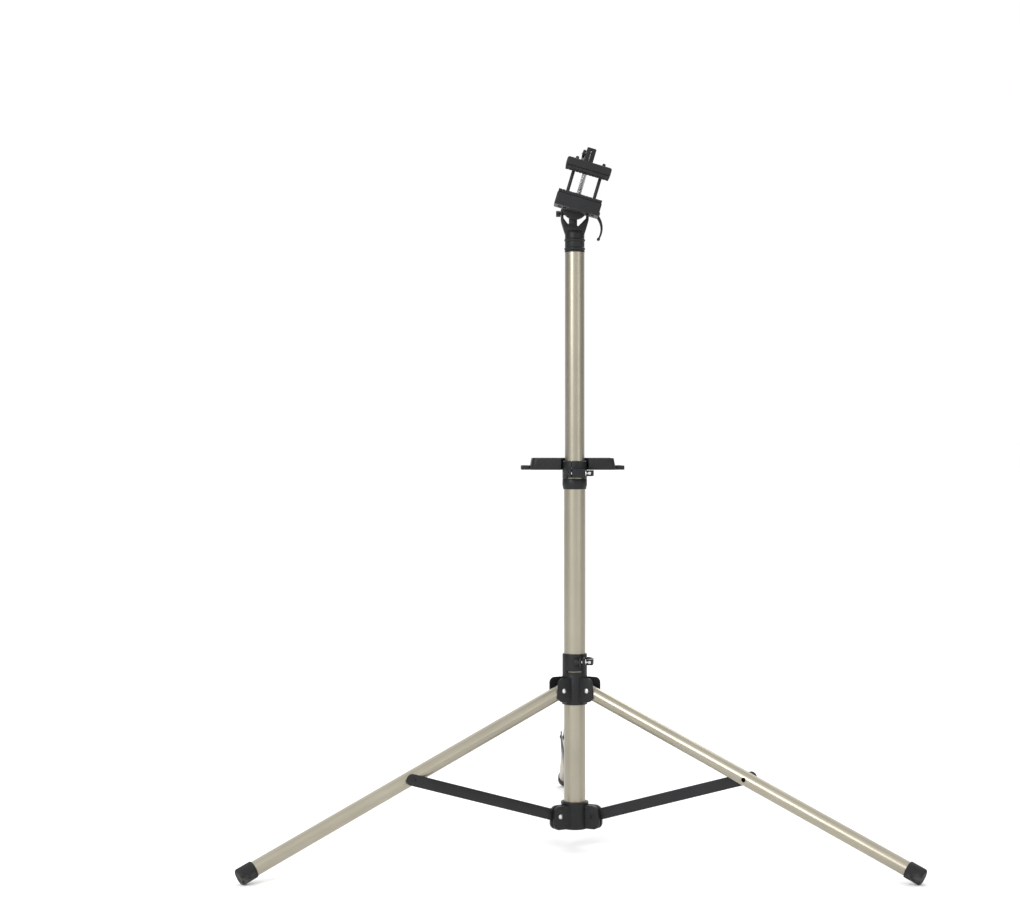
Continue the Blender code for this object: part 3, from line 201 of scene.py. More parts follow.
class Finishes(PropertyGroup):
    """Colours of the five finishes and of the floor."""

    champagne: colour("Champagne", "Satin tubes", (0.345, 0.318, 0.255))
    moulded_black: colour("Moulded black", "Plastic mouldings", (0.0085, 0.0090, 0.0098))
    coated_black: colour("Coated black", "Powder-coated steel", (0.0100, 0.0105, 0.0115))
    zinc: colour("Zinc", "Bright fasteners", (0.66, 0.66, 0.65))
    rubber: colour("Rubber", "Pads and foot caps", (0.0075, 0.0076, 0.0080))
    floor: colour("Floor", "Studio floor", (0.93, 0.93, 0.93))


# ---------------------------------------------------------------- modelling helpers


def deselect():
    bpy.ops.object.select_all(action="DESELECT")


def select_only(piece):
    deselect()
    piece.select_set(True)
    bpy.context.view_layer.objects.active = piece


def settle(piece):
    """Bakes the object's place into its mesh."""
    select_only(piece)
    bpy.ops.object.transform_apply(location=True, rotation=True, scale=True)
    return piece


def sides():
    return bpy.context.scene.stand_clamp.round_sides


def box(low, high, rounding=0.0, segments=3):
    """A box between two corners, its edges rounded in edit mode."""
    low, high = Vector(low), Vector(high)
    deselect()
    bpy.ops.mesh.primitive_cube_add(size=1.0, location=(low + high) / 2)
    piece = bpy.context.object
    piece.scale = high - low
    settle(piece)
    if rounding:
        bpy.ops.object.mode_set(mode="EDIT")
        bpy.ops.mesh.select_all(action="SELECT")
        bpy.ops.mesh.bevel(offset=rounding, segments=segments, affect="EDGES")
        bpy.ops.object.mode_set(mode="OBJECT")
    return piece


def rod(radius, start, end, vertices=None, rounding=0.0):
    """A bar between two points, with its rims rounded."""
    start, end = Vector(start), Vector(end)
    along = end - start
    deselect()
    bpy.ops.mesh.primitive_cylinder_add(
        vertices=vertices or sides(), radius=radius, depth=along.length, location=(0, 0, 0)
    )
    piece = bpy.context.object
    if rounding:
        select_only(piece)
        bpy.ops.object.mode_set(mode="EDIT")
        bpy.ops.mesh.select_mode(type="FACE")
        bpy.ops.mesh.select_all(action="DESELECT")
        bpy.ops.object.mode_set(mode="OBJECT")
        for polygon in piece.data.polygons:
            polygon.select = abs(polygon.normal.z) > 0.9
        bpy.ops.object.mode_set(mode="EDIT")
        bpy.ops.mesh.region_to_loop()
        bpy.ops.mesh.bevel(offset=rounding, segments=3, affect="EDGES")
        bpy.ops.mesh.select_mode(type="VERT")
        bpy.ops.object.mode_set(mode="OBJECT")
    aim = Vector((0, 0, 1)).rotation_difference(along).to_matrix().to_4x4()
    piece.matrix_world = Matrix.Translation((start + end) / 2) @ aim
    return settle(piece)


def lathe(profile, ring=False, vertices=None):
    """Starts as a circle and is extruded along (radius, height) points. A ring closes on itself."""
    radius, height = profile[0]
    deselect()
    bpy.ops.mesh.primitive_circle_add(
        vertices=vertices or sides(), radius=radius, location=(0, 0, height)
    )
    piece = settle(bpy.context.object)
    bpy.ops.object.mode_set(mode="EDIT")
    bpy.ops.mesh.select_mode(type="EDGE")
    bpy.ops.mesh.select_all(action="SELECT")
    if not ring:
        bpy.ops.mesh.edge_face_add()
        bpy.ops.mesh.select_mode(type="EDGE")
        bpy.ops.mesh.region_to_loop()
    for (near, low), (far, high) in zip(profile, profile[1:]):
        bpy.ops.mesh.extrude_edges_move(TRANSFORM_OT_translate={"value": (0, 0, high - low)})
        share = far / near
        bpy.ops.transform.resize(value=(share, share, 1), center_override=(0, 0, high))
    if ring:
        bpy.ops.mesh.select_all(action="DESELECT")
        bpy.ops.mesh.select_non_manifold()
        bpy.ops.mesh.bridge_edge_loops()
    else:
        bpy.ops.mesh.edge_face_add()
    bpy.ops.mesh.select_mode(type="VERT")
    bpy.ops.mesh.select_all(action="SELECT")
    bpy.ops.mesh.normals_make_consistent(inside=False)
    bpy.ops.object.mode_set(mode="OBJECT")
    return piece


def fillet(radius, start, end, centre, steps=4):
    """Points of a round edge on a turned profile. Angles are in degrees, from the outward direction."""
    points = []
    for step in range(steps + 1):
        angle = math.radians(start + (end - start) * step / steps)
        points.append((centre[0] + radius * math.cos(angle), centre[1] + radius * math.sin(angle)))
    return points


def tube_rings(outer, inner, top, bottom, soft=0.0003):
    """Profile of a tube whose four rims are slightly rounded."""
    return [
        (outer - soft, top),
        (outer, top - soft),
        (outer, bottom + soft),
        (outer - soft, bottom),
        (inner + soft, bottom),
        (inner, bottom + soft),
        (inner, top - soft),
        (inner + soft, top),
    ]


def rounded(corners, steps=8):
    """An outline from (x, y, radius) corners, each with its own fillet."""
    outline = []
    for i, (x, y, radius) in enumerate(corners):
        corner = Vector((x, y))
        before = Vector(corners[i - 1][:2]) - corner
        after = Vector(corners[(i + 1) % len(corners)][:2]) - corner
        if radius <= 0.0:
            outline.append(corner)
            continue
        half = before.angle(after) / 2
        bisector = (before.normalized() + after.normalized()).normalized()
        centre = corner + bisector * radius / math.sin(half)
        start = corner + before.normalized() * radius / math.tan(half) - centre
        end = corner + after.normalized() * radius / math.tan(half) - centre
        sweep = start.angle_signed(end)
        for step in range(steps + 1):
            outline.append(centre + Matrix.Rotation(-sweep * step / steps, 2) @ start)
    return outline


def stadium(start, end, radius, steps=20):
    """An outline with two round ends along X."""
    outline = []
    for centre, first in ((end, -math.pi / 2), (start, math.pi / 2)):
        for step in range(steps + 1):
            angle = first + math.pi * step / steps
            outline.append(Vector((centre + radius * math.cos(angle), radius * math.sin(angle))))
    return outline


def ribbon(path, halves):
    """The outline of a strip along a path, with its half width at each point."""
    left, right = [], []
    for i, (point, half) in enumerate(zip(path, halves)):
        ahead = path[min(i + 1, len(path) - 1)] - path[max(i - 1, 0)]
        side = Vector((-ahead.y, ahead.x)).normalized() * half
        left.append(point + side)
        right.append(point - side)
    return right + left[::-1]


def slab(outline, low, high, plane="XY", rounding=0.0):
    """A flat outline with thickness and rounded rims. In the XZ plane, low and high are along Y."""
    curve = bpy.data.curves.new("outline", "CURVE")
    curve.dimensions = "2D"
    curve.fill_mode = "BOTH"
    curve.extrude = (high - low) / 2 - rounding
    curve.bevel_depth = rounding
    curve.bevel_resolution = 1
    curve.offset = -rounding
    spline = curve.splines.new("POLY")
    spline.points.add(len(outline) - 1)
    for point, place in zip(spline.points, outline):
        point.co = (place.x, place.y, 0.0, 1.0)
    spline.use_cyclic_u = True
    piece = bpy.data.objects.new("slab", curve)
    bpy.context.scene.collection.objects.link(piece)
    select_only(piece)
    bpy.ops.object.convert(target="MESH")
    piece = bpy.context.object
    bpy.ops.object.mode_set(mode="EDIT")
    bpy.ops.mesh.select_all(action="SELECT")
    bpy.ops.mesh.remove_doubles(threshold=0.00001)
    bpy.ops.mesh.normals_make_consistent(inside=False)
    bpy.ops.object.mode_set(mode="OBJECT")
    middle = (low + high) / 2
    if plane == "XZ":
        piece.matrix_world = Matrix.Translation((0, middle, 0)) @ turn(math.pi / 2, "X")
    else:
        piece.matrix_world = Matrix.Translation((0, 0, middle))
    return settle(piece)


def use_tools(piece, operation, tools):
    """Applies one Boolean for each tool, and removes the tool."""
    for tool in tools:
        select_only(piece)
        step = piece.modifiers.new(operation.lower(), "BOOLEAN")
        step.operation = operation
        step.solver = "EXACT"
        step.object = tool
        bpy.ops.object.modifier_apply(modifier=step.name)
        bpy.data.objects.remove(tool)
    return piece


def weld(piece, *others):
    return use_tools(piece, "UNION", others)


def carve(piece, *tools):
    return use_tools(piece, "DIFFERENCE", tools)


def moved(piece, matrix):
    piece.matrix_world = matrix
    return settle(piece)


def copies(piece, matrices):
    """Places a modelled shape several times, each copy with its own mesh."""
    made = []
    for matrix in matrices:
        copy = piece.copy()
        copy.data = piece.data.copy()
        bpy.context.scene.collection.objects.link(copy)
        made.append(moved(copy, matrix))
    bpy.data.objects.remove(piece)
    return made


def finish(piece, node, body, finish_name, place=None, smooth=38.0):
    """Names and places a finished piece, gives it its material and ties it to the frame."""
    if place is not None:
        moved(piece, place)
    piece.name = "fine_" + node
    piece.data.name = piece.name
    select_only(piece)
    bpy.ops.object.shade_smooth_by_angle(angle=math.radians(smooth))
    piece.data.materials.clear()
    piece.data.materials.append(bpy.data.materials[finish_name])
    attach(piece, body)
    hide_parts(node)
    return piece


# ---------------------------------------------------------------- materials


class Graph:
    """Short words for a material's nodes."""

    def __init__(self, name):
        self.material = bpy.data.materials.new(name)
        self.material.use_nodes = True
        self.tree = self.material.node_tree
        self.shader = self.tree.nodes["Principled BSDF"]
        self.here = self.add("ShaderNodeTexCoord").outputs["Object"]

    def add(self, kind, **values):
        node = self.tree.nodes.new(kind)
        for key, value in values.items():
            setattr(node, key, value)
        return node

    def link(self, source, target):
        self.tree.links.new(source, target)

    def placed(self, matrix):
        """Turns the coordinates into a piece's own frame."""
        inverse = matrix.inverted()
        node = self.add("ShaderNodeMapping")
        node.inputs["Location"].default_value = inverse.to_translation()
        node.inputs["Rotation"].default_value = inverse.to_euler()
        self.link(self.here, node.inputs["Vector"])
        self.here = node.outputs["Vector"]

    def stretched(self, scale):
        node = self.add("ShaderNodeMapping")
        node.inputs["Scale"].default_value = scale
        self.link(self.here, node.inputs["Vector"])
        return node.outputs["Vector"]

    def noise(self, scale, detail=3.0, vector=None, roughness=0.5):
        node = self.add("ShaderNodeTexNoise")
        node.inputs["Scale"].default_value = scale
        node.inputs["Detail"].default_value = detail
        node.inputs["Roughness"].default_value = roughness
        self.link(vector or self.here, node.inputs["Vector"])
        return node.outputs["Fac"]

    def spread(self, value, low, high, start=0.0, end=1.0):
        """Maps a value between low and high onto start to end."""
        node = self.add("ShaderNodeMapRange")
        for socket, number in (("From Min", low), ("From Max", high), ("To Min", start), ("To Max", end)):
            node.inputs[socket].default_value = number
        self.link(value, node.inputs["Value"])
        return node.outputs["Result"]

    def mix(self, share, first, second):
        node = self.add("ShaderNodeMix", data_type="RGBA")
        self.link(share, node.inputs["Factor"])
        for socket, value in ((node.inputs[6], first), (node.inputs[7], second)):
            if isinstance(value, bpy.types.NodeSocket):
                self.link(value, socket)
            else:
                socket.default_value = (*value, 1.0)
        return node.outputs[2]

    def maths(self, operation, first, second):
        node = self.add("ShaderNodeMath", operation=operation)
        for socket, value in zip(node.inputs, (first, second)):
            if isinstance(value, bpy.types.NodeSocket):
                self.link(value, socket)
            else:
                socket.default_value = value
        return node.outputs[0]

    def bump(self, height, distance, strength=1.0, under=None):
        node = self.add("ShaderNodeBump")
        node.inputs["Distance"].default_value = distance
        node.inputs["Strength"].default_value = strength
        self.link(height, node.inputs["Height"])
        if under is not None:
            self.link(under, node.inputs["Normal"])
        return node.outputs["Normal"]

    def finish(self, base, roughness, normal, metallic=0.0, **sockets):
        self.link(base, self.shader.inputs["Base Color"])
        self.link(roughness, self.shader.inputs["Roughness"])
        self.link(normal, self.shader.inputs["Normal"])
        self.shader.inputs["Metallic"].default_value = metallic
        for name, value in sockets.items():
            self.shader.inputs[name.replace("_", " ")].default_value = value
        return self.material


def shade(base, share):
    return tuple(channel * share for channel in base)


def champagne(name, place):
    """Satin anodised tube: fine draw lines along it, cloudy tone and a few rubbed marks."""
    base = tuple(bpy.context.scene.stand_finish.champagne)
    graph = Graph(name)
    graph.placed(place)
    lines = graph.noise(1500.0, 2.0, graph.stretched((1.0, 1.0, 0.012)))
    cloud = graph.noise(9.0, 4.0)
    grain = graph.noise(5200.0, 1.0)
    rubbed = graph.spread(graph.noise(65.0, 6.0, graph.stretched((1.0, 1.0, 0.25)), 0.62), 0.66, 0.78)
    tone = graph.mix(graph.spread(cloud, 0.35, 0.65), shade(base, 0.93), shade(base, 1.05))
    tone = graph.mix(graph.spread(lines, 0.3, 0.7, 0.0, 0.30), tone, shade(base, 0.80))
    tone = graph.mix(graph.maths("MULTIPLY", rubbed, 0.35), tone, shade(base, 0.62))
    rough = graph.spread(lines, 0.25, 0.75, 0.30, 0.40)
    rough = graph.maths("ADD", rough, graph.maths("MULTIPLY", rubbed, 0.18))
    normal = graph.bump(lines, 0.00002, 0.5)
    normal = graph.bump(grain, 0.00001, 0.4, normal)
    return graph.finish(tone, rough, normal, metallic=0.85)


def moulded(name):
    """Moulded black plastic: fine spark-eroded grain, faint flow clouds and light scuffs."""
    base = tuple(bpy.context.scene.stand_finish.moulded_black)
    graph = Graph(name)
    cloud = graph.noise(30.0, 4.0)
    grain = graph.noise(2600.0, 3.0)
    scuff = graph.spread(graph.noise(150.0, 8.0, graph.stretched((1.0, 0.35, 1.0)), 0.7), 0.62, 0.74)
    tone = graph.mix(graph.spread(cloud, 0.3, 0.7), shade(base, 0.82), shade(base, 1.25))
    tone = graph.mix(graph.maths("MULTIPLY", scuff, 0.30), tone, shade(base, 3.0))
    rough = graph.spread(graph.noise(420.0, 4.0), 0.3, 0.7, 0.40, 0.54)
    rough = graph.maths("ADD", rough, graph.maths("MULTIPLY", scuff, 0.12))
    normal = graph.bump(grain, 0.00005, 0.6)
    normal = graph.bump(cloud, 0.0002, 0.15, normal)
    return graph.finish(tone, rough, normal, Specular_IOR_Level=0.26)


def coated(name):
    """Powder-coated steel: orange peel, and small chips that show grey."""
    base = tuple(bpy.context.scene.stand_finish.coated_black)
    graph = Graph(name)
    peel = graph.noise(900.0, 2.0)
    cloud = graph.noise(24.0, 3.0)
    chips = graph.spread(graph.noise(260.0, 6.0, None, 0.7), 0.70, 0.74)
    tone = graph.mix(graph.spread(cloud, 0.3, 0.7), shade(base, 0.85), shade(base, 1.2))
    tone = graph.mix(graph.maths("MULTIPLY", chips, 0.5), tone, shade(base, 4.5))
    rough = graph.spread(peel, 0.3, 0.7, 0.34, 0.46)
    normal = graph.bump(peel, 0.00008, 0.7)
    return graph.finish(tone, rough, normal, Specular_IOR_Level=0.28)


def zinc(name):
    """Zinc-plated steel: bright, with fine turning marks and dull spots."""
    base = tuple(bpy.context.scene.stand_finish.zinc)
    graph = Graph(name)
    marks = graph.noise(2400.0, 2.0, graph.stretched((1.0, 1.0, 0.15)))
    spots = graph.noise(420.0, 5.0)
    tone = graph.mix(graph.spread(spots, 0.35, 0.7), base, shade(base, 0.72))
    rough = graph.spread(spots, 0.3, 0.7, 0.20, 0.38)
    normal = graph.bump(marks, 0.00002, 0.5)
    return graph.finish(tone, rough, normal, metallic=1.0)


def rubber(name):
    """Matt moulded rubber: soft grain, and pale dust towards the floor."""
    base = tuple(bpy.context.scene.stand_finish.rubber)
    graph = Graph(name)
    grain = graph.noise(1700.0, 4.0)
    patches = graph.noise(110.0, 5.0)
    height = graph.add("ShaderNodeSeparateXYZ")
    graph.link(graph.here, height.inputs[0])
    near_floor = graph.spread(height.outputs["Z"], 0.0, 0.022, 1.0, 0.0)
    dust = graph.maths("MULTIPLY", near_floor, graph.spread(patches, 0.40, 0.66, 0.0, 0.65))
    tone = graph.mix(graph.spread(patches, 0.3, 0.7), shade(base, 0.85), shade(base, 1.35))
    tone = graph.mix(dust, tone, (0.16, 0.15, 0.135))
    rough = graph.spread(grain, 0.3, 0.7, 0.66, 0.84)
    normal = graph.bump(grain, 0.00012, 0.7)
    return graph.finish(tone, rough, normal, Specular_IOR_Level=0.35)


def floor_finish(name):
    """Pale matt studio floor with the faintest mottle."""
    base = tuple(bpy.context.scene.stand_finish.floor)
    graph = Graph(name)
    cloud = graph.noise(3.0, 3.0)
    tone = graph.mix(cloud, shade(base, 0.985), shade(base, 1.01))
    rough = graph.spread(cloud, 0.0, 1.0, 0.75, 0.85)
    normal = graph.bump(graph.noise(220.0, 2.0), 0.0002, 0.1)
    return graph.finish(tone, rough, normal, Specular_IOR_Level=0.2)


def leg_finish(name):
    return f"champagne-{name}_leg"


class STAND_OT_finishes(Operator):
    """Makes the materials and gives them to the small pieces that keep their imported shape"""

    bl_idname = "stand.finishes"
    bl_label = "Finishes"

    def execute(self, context):
        tripod = context.scene.stand_tripod
        champagne("champagne-mast", Matrix.Identity(4))
        for name in ARMS:
            along = turn(math.pi / 2, "Y")
            champagne(leg_finish(name), leg_place(name, tripod.leg_pitch) @ along)
        moulded("moulded-black")
        coated("coated-black")
        zinc("zinc-bright")
        rubber("rubber-black")
        kept = {
            "zinc-bright": ("jaw_bolt_left", "jaw_bolt_right", "collar_cam_pin", "hub_cam_pin", "head_cam_pin"),
            "moulded-black": ("upper_tube_plug",),
        }
        for finish_name, nodes in kept.items():
            for node in nodes:
                slot = frame["nodes"][node].material_slots[0]
                slot.material = bpy.data.materials[finish_name]
        return {"FINISHED"}


# ---------------------------------------------------------------- mast


class STAND_OT_mast_tubes(Operator):
    """Lower and upper tubes of the telescopic mast"""

    bl_idname = "stand.mast_tubes"
    bl_label = "Mast tubes"

    def execute(self, context):
        mast = context.scene.stand_mast
        tubes = (
            ("lower_mast_tube", "mast", mast.lower_radius, mast.lower_wall),
            ("upper_mast_tube", "upper_mast", mast.upper_radius, mast.upper_wall),
        )
        for node, body, radius, wall in tubes:
            bottom, top = node_span(node, 2)
            tube = lathe(tube_rings(radius, radius - wall, top, bottom), ring=True, vertices=96)
            finish(tube, node, body, "champagne-mast")
        return {"FINISHED"}


def pin(shank, head, height, start, end, both=True, socket=0.0):
    """A rivet along Y from start to end, with a domed head at the far end or at both."""
    dome = fillet(head * 0.9, 8, 78, (head * 0.1, end + height - head * 0.9 * 0.98), 5)
    dome = [(min(radius, head), max(level, end)) for radius, level in dome]
    profile = [(head * 0.28, end + height)] + dome[::-1] + [(head, end), (shank, end)]
    if both:
        lower = [(radius, start - (level - end)) for radius, level in reversed(profile)]
        profile += lower
    else:
        profile += [(shank, start + 0.0003), (shank - 0.0003, start)]
    piece = lathe(profile, vertices=36)
    moved(piece, turn(-math.pi / 2, "X"))
    if socket:
        carve(piece, rod(socket, (0, end + height * 0.35, 0), (0, end + height + 0.003, 0), 6))
    return piece


class STAND_OT_foot_collar(Operator):
    """Collar at the foot of the mast, with its three strap lugs and their bolts"""

    bl_idname = "stand.foot_collar"
    bl_label = "Foot collar"

    def execute(self, context):
        mast, tripod = context.scene.stand_mast, context.scene.stand_tripod
        bottom, top = node_span("bottom_collar", 2)
        radius, lip = mast.collar_radius, mast.collar_radius + 0.001
        profile = [
            *fillet(0.0012, 90, 0, (lip - 0.0012, top - 0.0012)),
            (lip, top - 0.0042),
            (radius, top - 0.0062),
            *fillet(0.0020, 0, -90, (radius - 0.0020, bottom + 0.0020)),
        ]
        collar = lathe(profile)
        low = mast.collar_lug_shift - mast.collar_lug_width / 2
        high = mast.collar_lug_shift + mast.collar_lug_width / 2
        reach = joint_reach("strap_fold_rear")
        height = joint_point("strap_fold_rear").z
        inner = radius - 0.006
        outline = rounded(
            [
                (inner, 0.0335 - height, 0),
                (mast.collar_lug_reach, 0.0335 - height, 0.011),
                (mast.collar_lug_reach, 0.0752 - height, 0.013),
                (inner, 0.0752 - height, 0),
            ]
        )
        places = [lug_place(name, f"strap_fold_{name}") for name in ARMS]
        weld(collar, *copies(slab(outline, low, high, "XZ", 0.0012), places))
        slot_half = tripod.strap_thickness / 2 + 0.0005
        floor = reach - tripod.strap_width / 2 - 0.0008
        slot = box(
            (floor, mast.collar_lug_shift - slot_half, -0.05),
            (0.08, mast.collar_lug_shift + slot_half, 0.05),
        )
        hole = rod(0.0028, (reach, low + 0.0027, 0), (reach, 0.03, 0), 32)
        recess = rod(0.0042, (reach, low - 0.01, 0), (reach, low + 0.0015, 0), 32)
        tools = copies(slot, places) + copies(hole, places) + copies(recess, places)
        bore = rod(mast.lower_radius + GAP, (0, 0, bottom + 0.004), (0, 0, 0.3), 96)
        drain = rod(0.008, (0, 0, 0), (0, 0, 0.1), 48)
        carve(collar, *tools, bore, drain)
        finish(collar, "bottom_collar", "mast", "moulded-black")
        for name, place in zip(ARMS, places):
            bolt = pin(0.0025, 0.0042, 0.0017, low + 0.003, high + GAP, both=False, socket=0.0019)
            moved(bolt, Matrix.Translation((reach, 0, 0)))
            finish(bolt, f"strap_pivot_bolt_{name}", "mast", "zinc-bright", place)
        return {"FINISHED"}


# ---------------------------------------------------------------- quick releases


def cam_lever(height, reach, bulge, end_shift, tip, radius):
    """A cam head with a curved arm that swells towards its tip. The pivot is local Z."""
    clamp = bpy.context.scene.stand_clamp
    steps = 24
    path, halves = [], []
    for step in range(steps + 1):
        share = step / steps
        across = end_shift * share + 4 * bulge * share * (1 - share)
        path.append(Vector((across, radius * 0.4 + (reach - radius * 0.4) * share)))
        waist = 1.0 + 0.55 * (1 - share) ** 3
        halves.append(clamp.lever_thickness / 2 * waist * (1 - 0.18 * share))
    half = height / 2
    arm = slab(ribbon(path, halves), -half * 0.97, half * 0.97, rounding=0.0007)
    end = path[-1]
    knob = rod(tip, (*end, -half * 0.94), (*end, half * 0.94), 32, 0.0008)
    head = rod(radius, (0, 0, -half), (0, 0, half), 56, 0.0008)
    return weld(head, arm, knob)


def quick_release(prefix, body, lever_body, place, shape, steel="zinc-bright"):
    """Skewer, nut, washer and lever. The lever's pivot is at the origin, the skewer along X."""
    clamp = bpy.context.scene.stand_clamp
    inverse = place.inverted()
    spans = {}
    for piece in ("skewer", "nut", "washer"):
        low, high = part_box(f"{prefix}_{piece}")
        corners = sorted(((inverse @ low).x, (inverse @ high).x))
        spans[piece] = corners
    radius, slot = clamp.skewer_radius, 0.0060
    far = spans["skewer"][0]
    shank = lathe(thread_rings(radius, far, spans["nut"][1] - 0.001, 0.0010, 0.0), vertices=32)
    moved(shank, turn(math.pi / 2, "Y"))
    plain = rod(radius * 0.99, (spans["nut"][1] - 0.0015, 0, 0), (0, 0, 0), 32)
    eye = rod(0.004, (0, 0, -slot / 2 + GAP), (0, 0, slot / 2 - GAP), 40, 0.0006)
    weld(shank, plain, eye)
    carve(shank, rod(0.0018, (0, 0, -0.02), (0, 0, 0.02), 24))
    finish(shank, f"{prefix}_skewer", body, steel, place)

    low, high = spans["nut"]
    nut = rod(0.0055, (low, 0, 0), (high, 0, 0), 6, 0.0009)
    carve(nut, rod(radius + GAP, (far - GAP, 0, 0), (high + 0.01, 0, 0), 32))
    finish(nut, f"{prefix}_nut", body, "coated-black", place, 25)

    low, high = spans["washer"]
    washer = rod(0.0048, (low, 0, 0), (high, 0, 0), 40, 0.0003)
    carve(washer, rod(radius + GAP, (low - 0.01, 0, 0), (high + 0.01, 0, 0), 32))
    finish(washer, f"{prefix}_washer", body, steel, place)

    lever = cam_lever(clamp.cam_height, *shape, clamp.cam_radius)
    edge = clamp.cam_radius - 0.0016
    mouth = box((-0.012, -0.012, -slot / 2), (edge, edge, slot / 2))
    carve(lever, mouth, rod(0.0018, (0, 0, -0.02), (0, 0, 0.02), 24))
    finish(lever, f"{prefix}_lever", lever_body, "moulded-black", place)


def thread_rings(radius, start, end, pitch, plain):
    """Profile of a threaded bar: a ridge at every pitch, and a plain end."""
    root = radius - pitch * 0.28
    rings = [(root * 0.8, start), (root, start + pitch * 0.3)]
    count = int((end - plain - start) / pitch)
    for i in range(1, count):
        level = start + i * pitch
        rings += [(radius, level - pitch * 0.08), (radius, level + pitch * 0.08)]
        rings.append((root, level + pitch * 0.5))
    rings += [(radius, end - plain), (radius, end)]
    return rings


def pinch_ears(height, slit_height, split_x, band_radius, long_ear=EAR):
    """The two ears in front of a band, and the tools that slit, split and drill them."""
    depth = band_radius + 0.0061
    half, back = 0.0075, -0.0114
    left, right = split_x - 0.0009, split_x + 0.0009
    ears = box(
        (left - EAR, -depth - 0.005, height - half),
        (right + long_ear, back, height + half),
        rounding=0.0014,
    )
    split = box((left, -depth - 0.01, slit_height), (right, back + GAP, height + 0.05))
    slit = box((-0.0148, -band_radius - 0.01, slit_height - 0.0009), (0.0148, back, slit_height + 0.0009))
    hole = rod(0.0028, (left - 0.02, -depth, height), (right + long_ear + 0.02, -depth, height), 32)
    return ears, (split, slit, hole)


class STAND_OT_mast_collar(Operator):
    """Quick-release collar on top of the lower tube, with the tray's bracket"""

    bl_idname = "stand.mast_collar"
    bl_label = "Mast collar"

    def execute(self, context):
        mast = context.scene.stand_mast
        bottom, top = node_span("mast_collar", 2)
        radius = mast.band_radius
        profile = [
            *fillet(0.0014, 90, 0, (radius - 0.0014, top - 0.0014)),
            (radius, bottom + 0.020),
            (radius - 0.0004, bottom + 0.0194),
            (radius - 0.0004, bottom + 0.0180),
            (radius, bottom + 0.0174),
            (radius, bottom + 0.008),
            *fillet(0.0010, 0, -90, (radius - 0.0024, bottom + 0.0010)),
        ]
        collar = lathe(profile)
        tray_bottom = node_span("tool_tray", 2)[0]
        shelf = tray_bottom - 0.0080
        bracket = box((-0.014, radius * 0.7, shelf), (0.014, 0.062, tray_bottom - GAP), 0.0015)
        near = radius * 0.7
        rib = slab(
            [Vector((near, shelf - 0.012)), Vector((0.050, shelf + 0.0004)), Vector((near, shelf + 0.0004))],
            -0.002,
            0.002,
            "XZ",
            0.0004,
        )
        moved(rib, turn(math.pi / 2, "Z"))
        pivot = joint_point("collar_lever_swing")
        tube_top = node_span("lower_mast_tube", 2)[1]
        ears, cuts = pinch_ears(pivot.z, tube_top - 0.0202, -0.0065, radius, 0.0230)
        low, high = (0, 0, bottom - 0.01), (0, 0, top + 0.01)
        seat = rod(mast.lower_radius + GAP, low, (0, 0, tube_top + GAP), 96)
        guide = rod(mast.upper_radius + 0.0004, low, high, 96)
        holes = [rod(0.0023, (0, y, bottom), (0, y, top), 24) for y in (0.036, 0.053)]
        weld(collar, bracket, rib, ears)
        carve(collar, seat, guide, *cuts, *holes)
        finish(collar, "mast_collar", "mast", "moulded-black")
        place = Matrix.Translation(pivot)
        quick_release("collar", "mast", "collar_lever", place, BAND_LEVER)
        return {"FINISHED"}


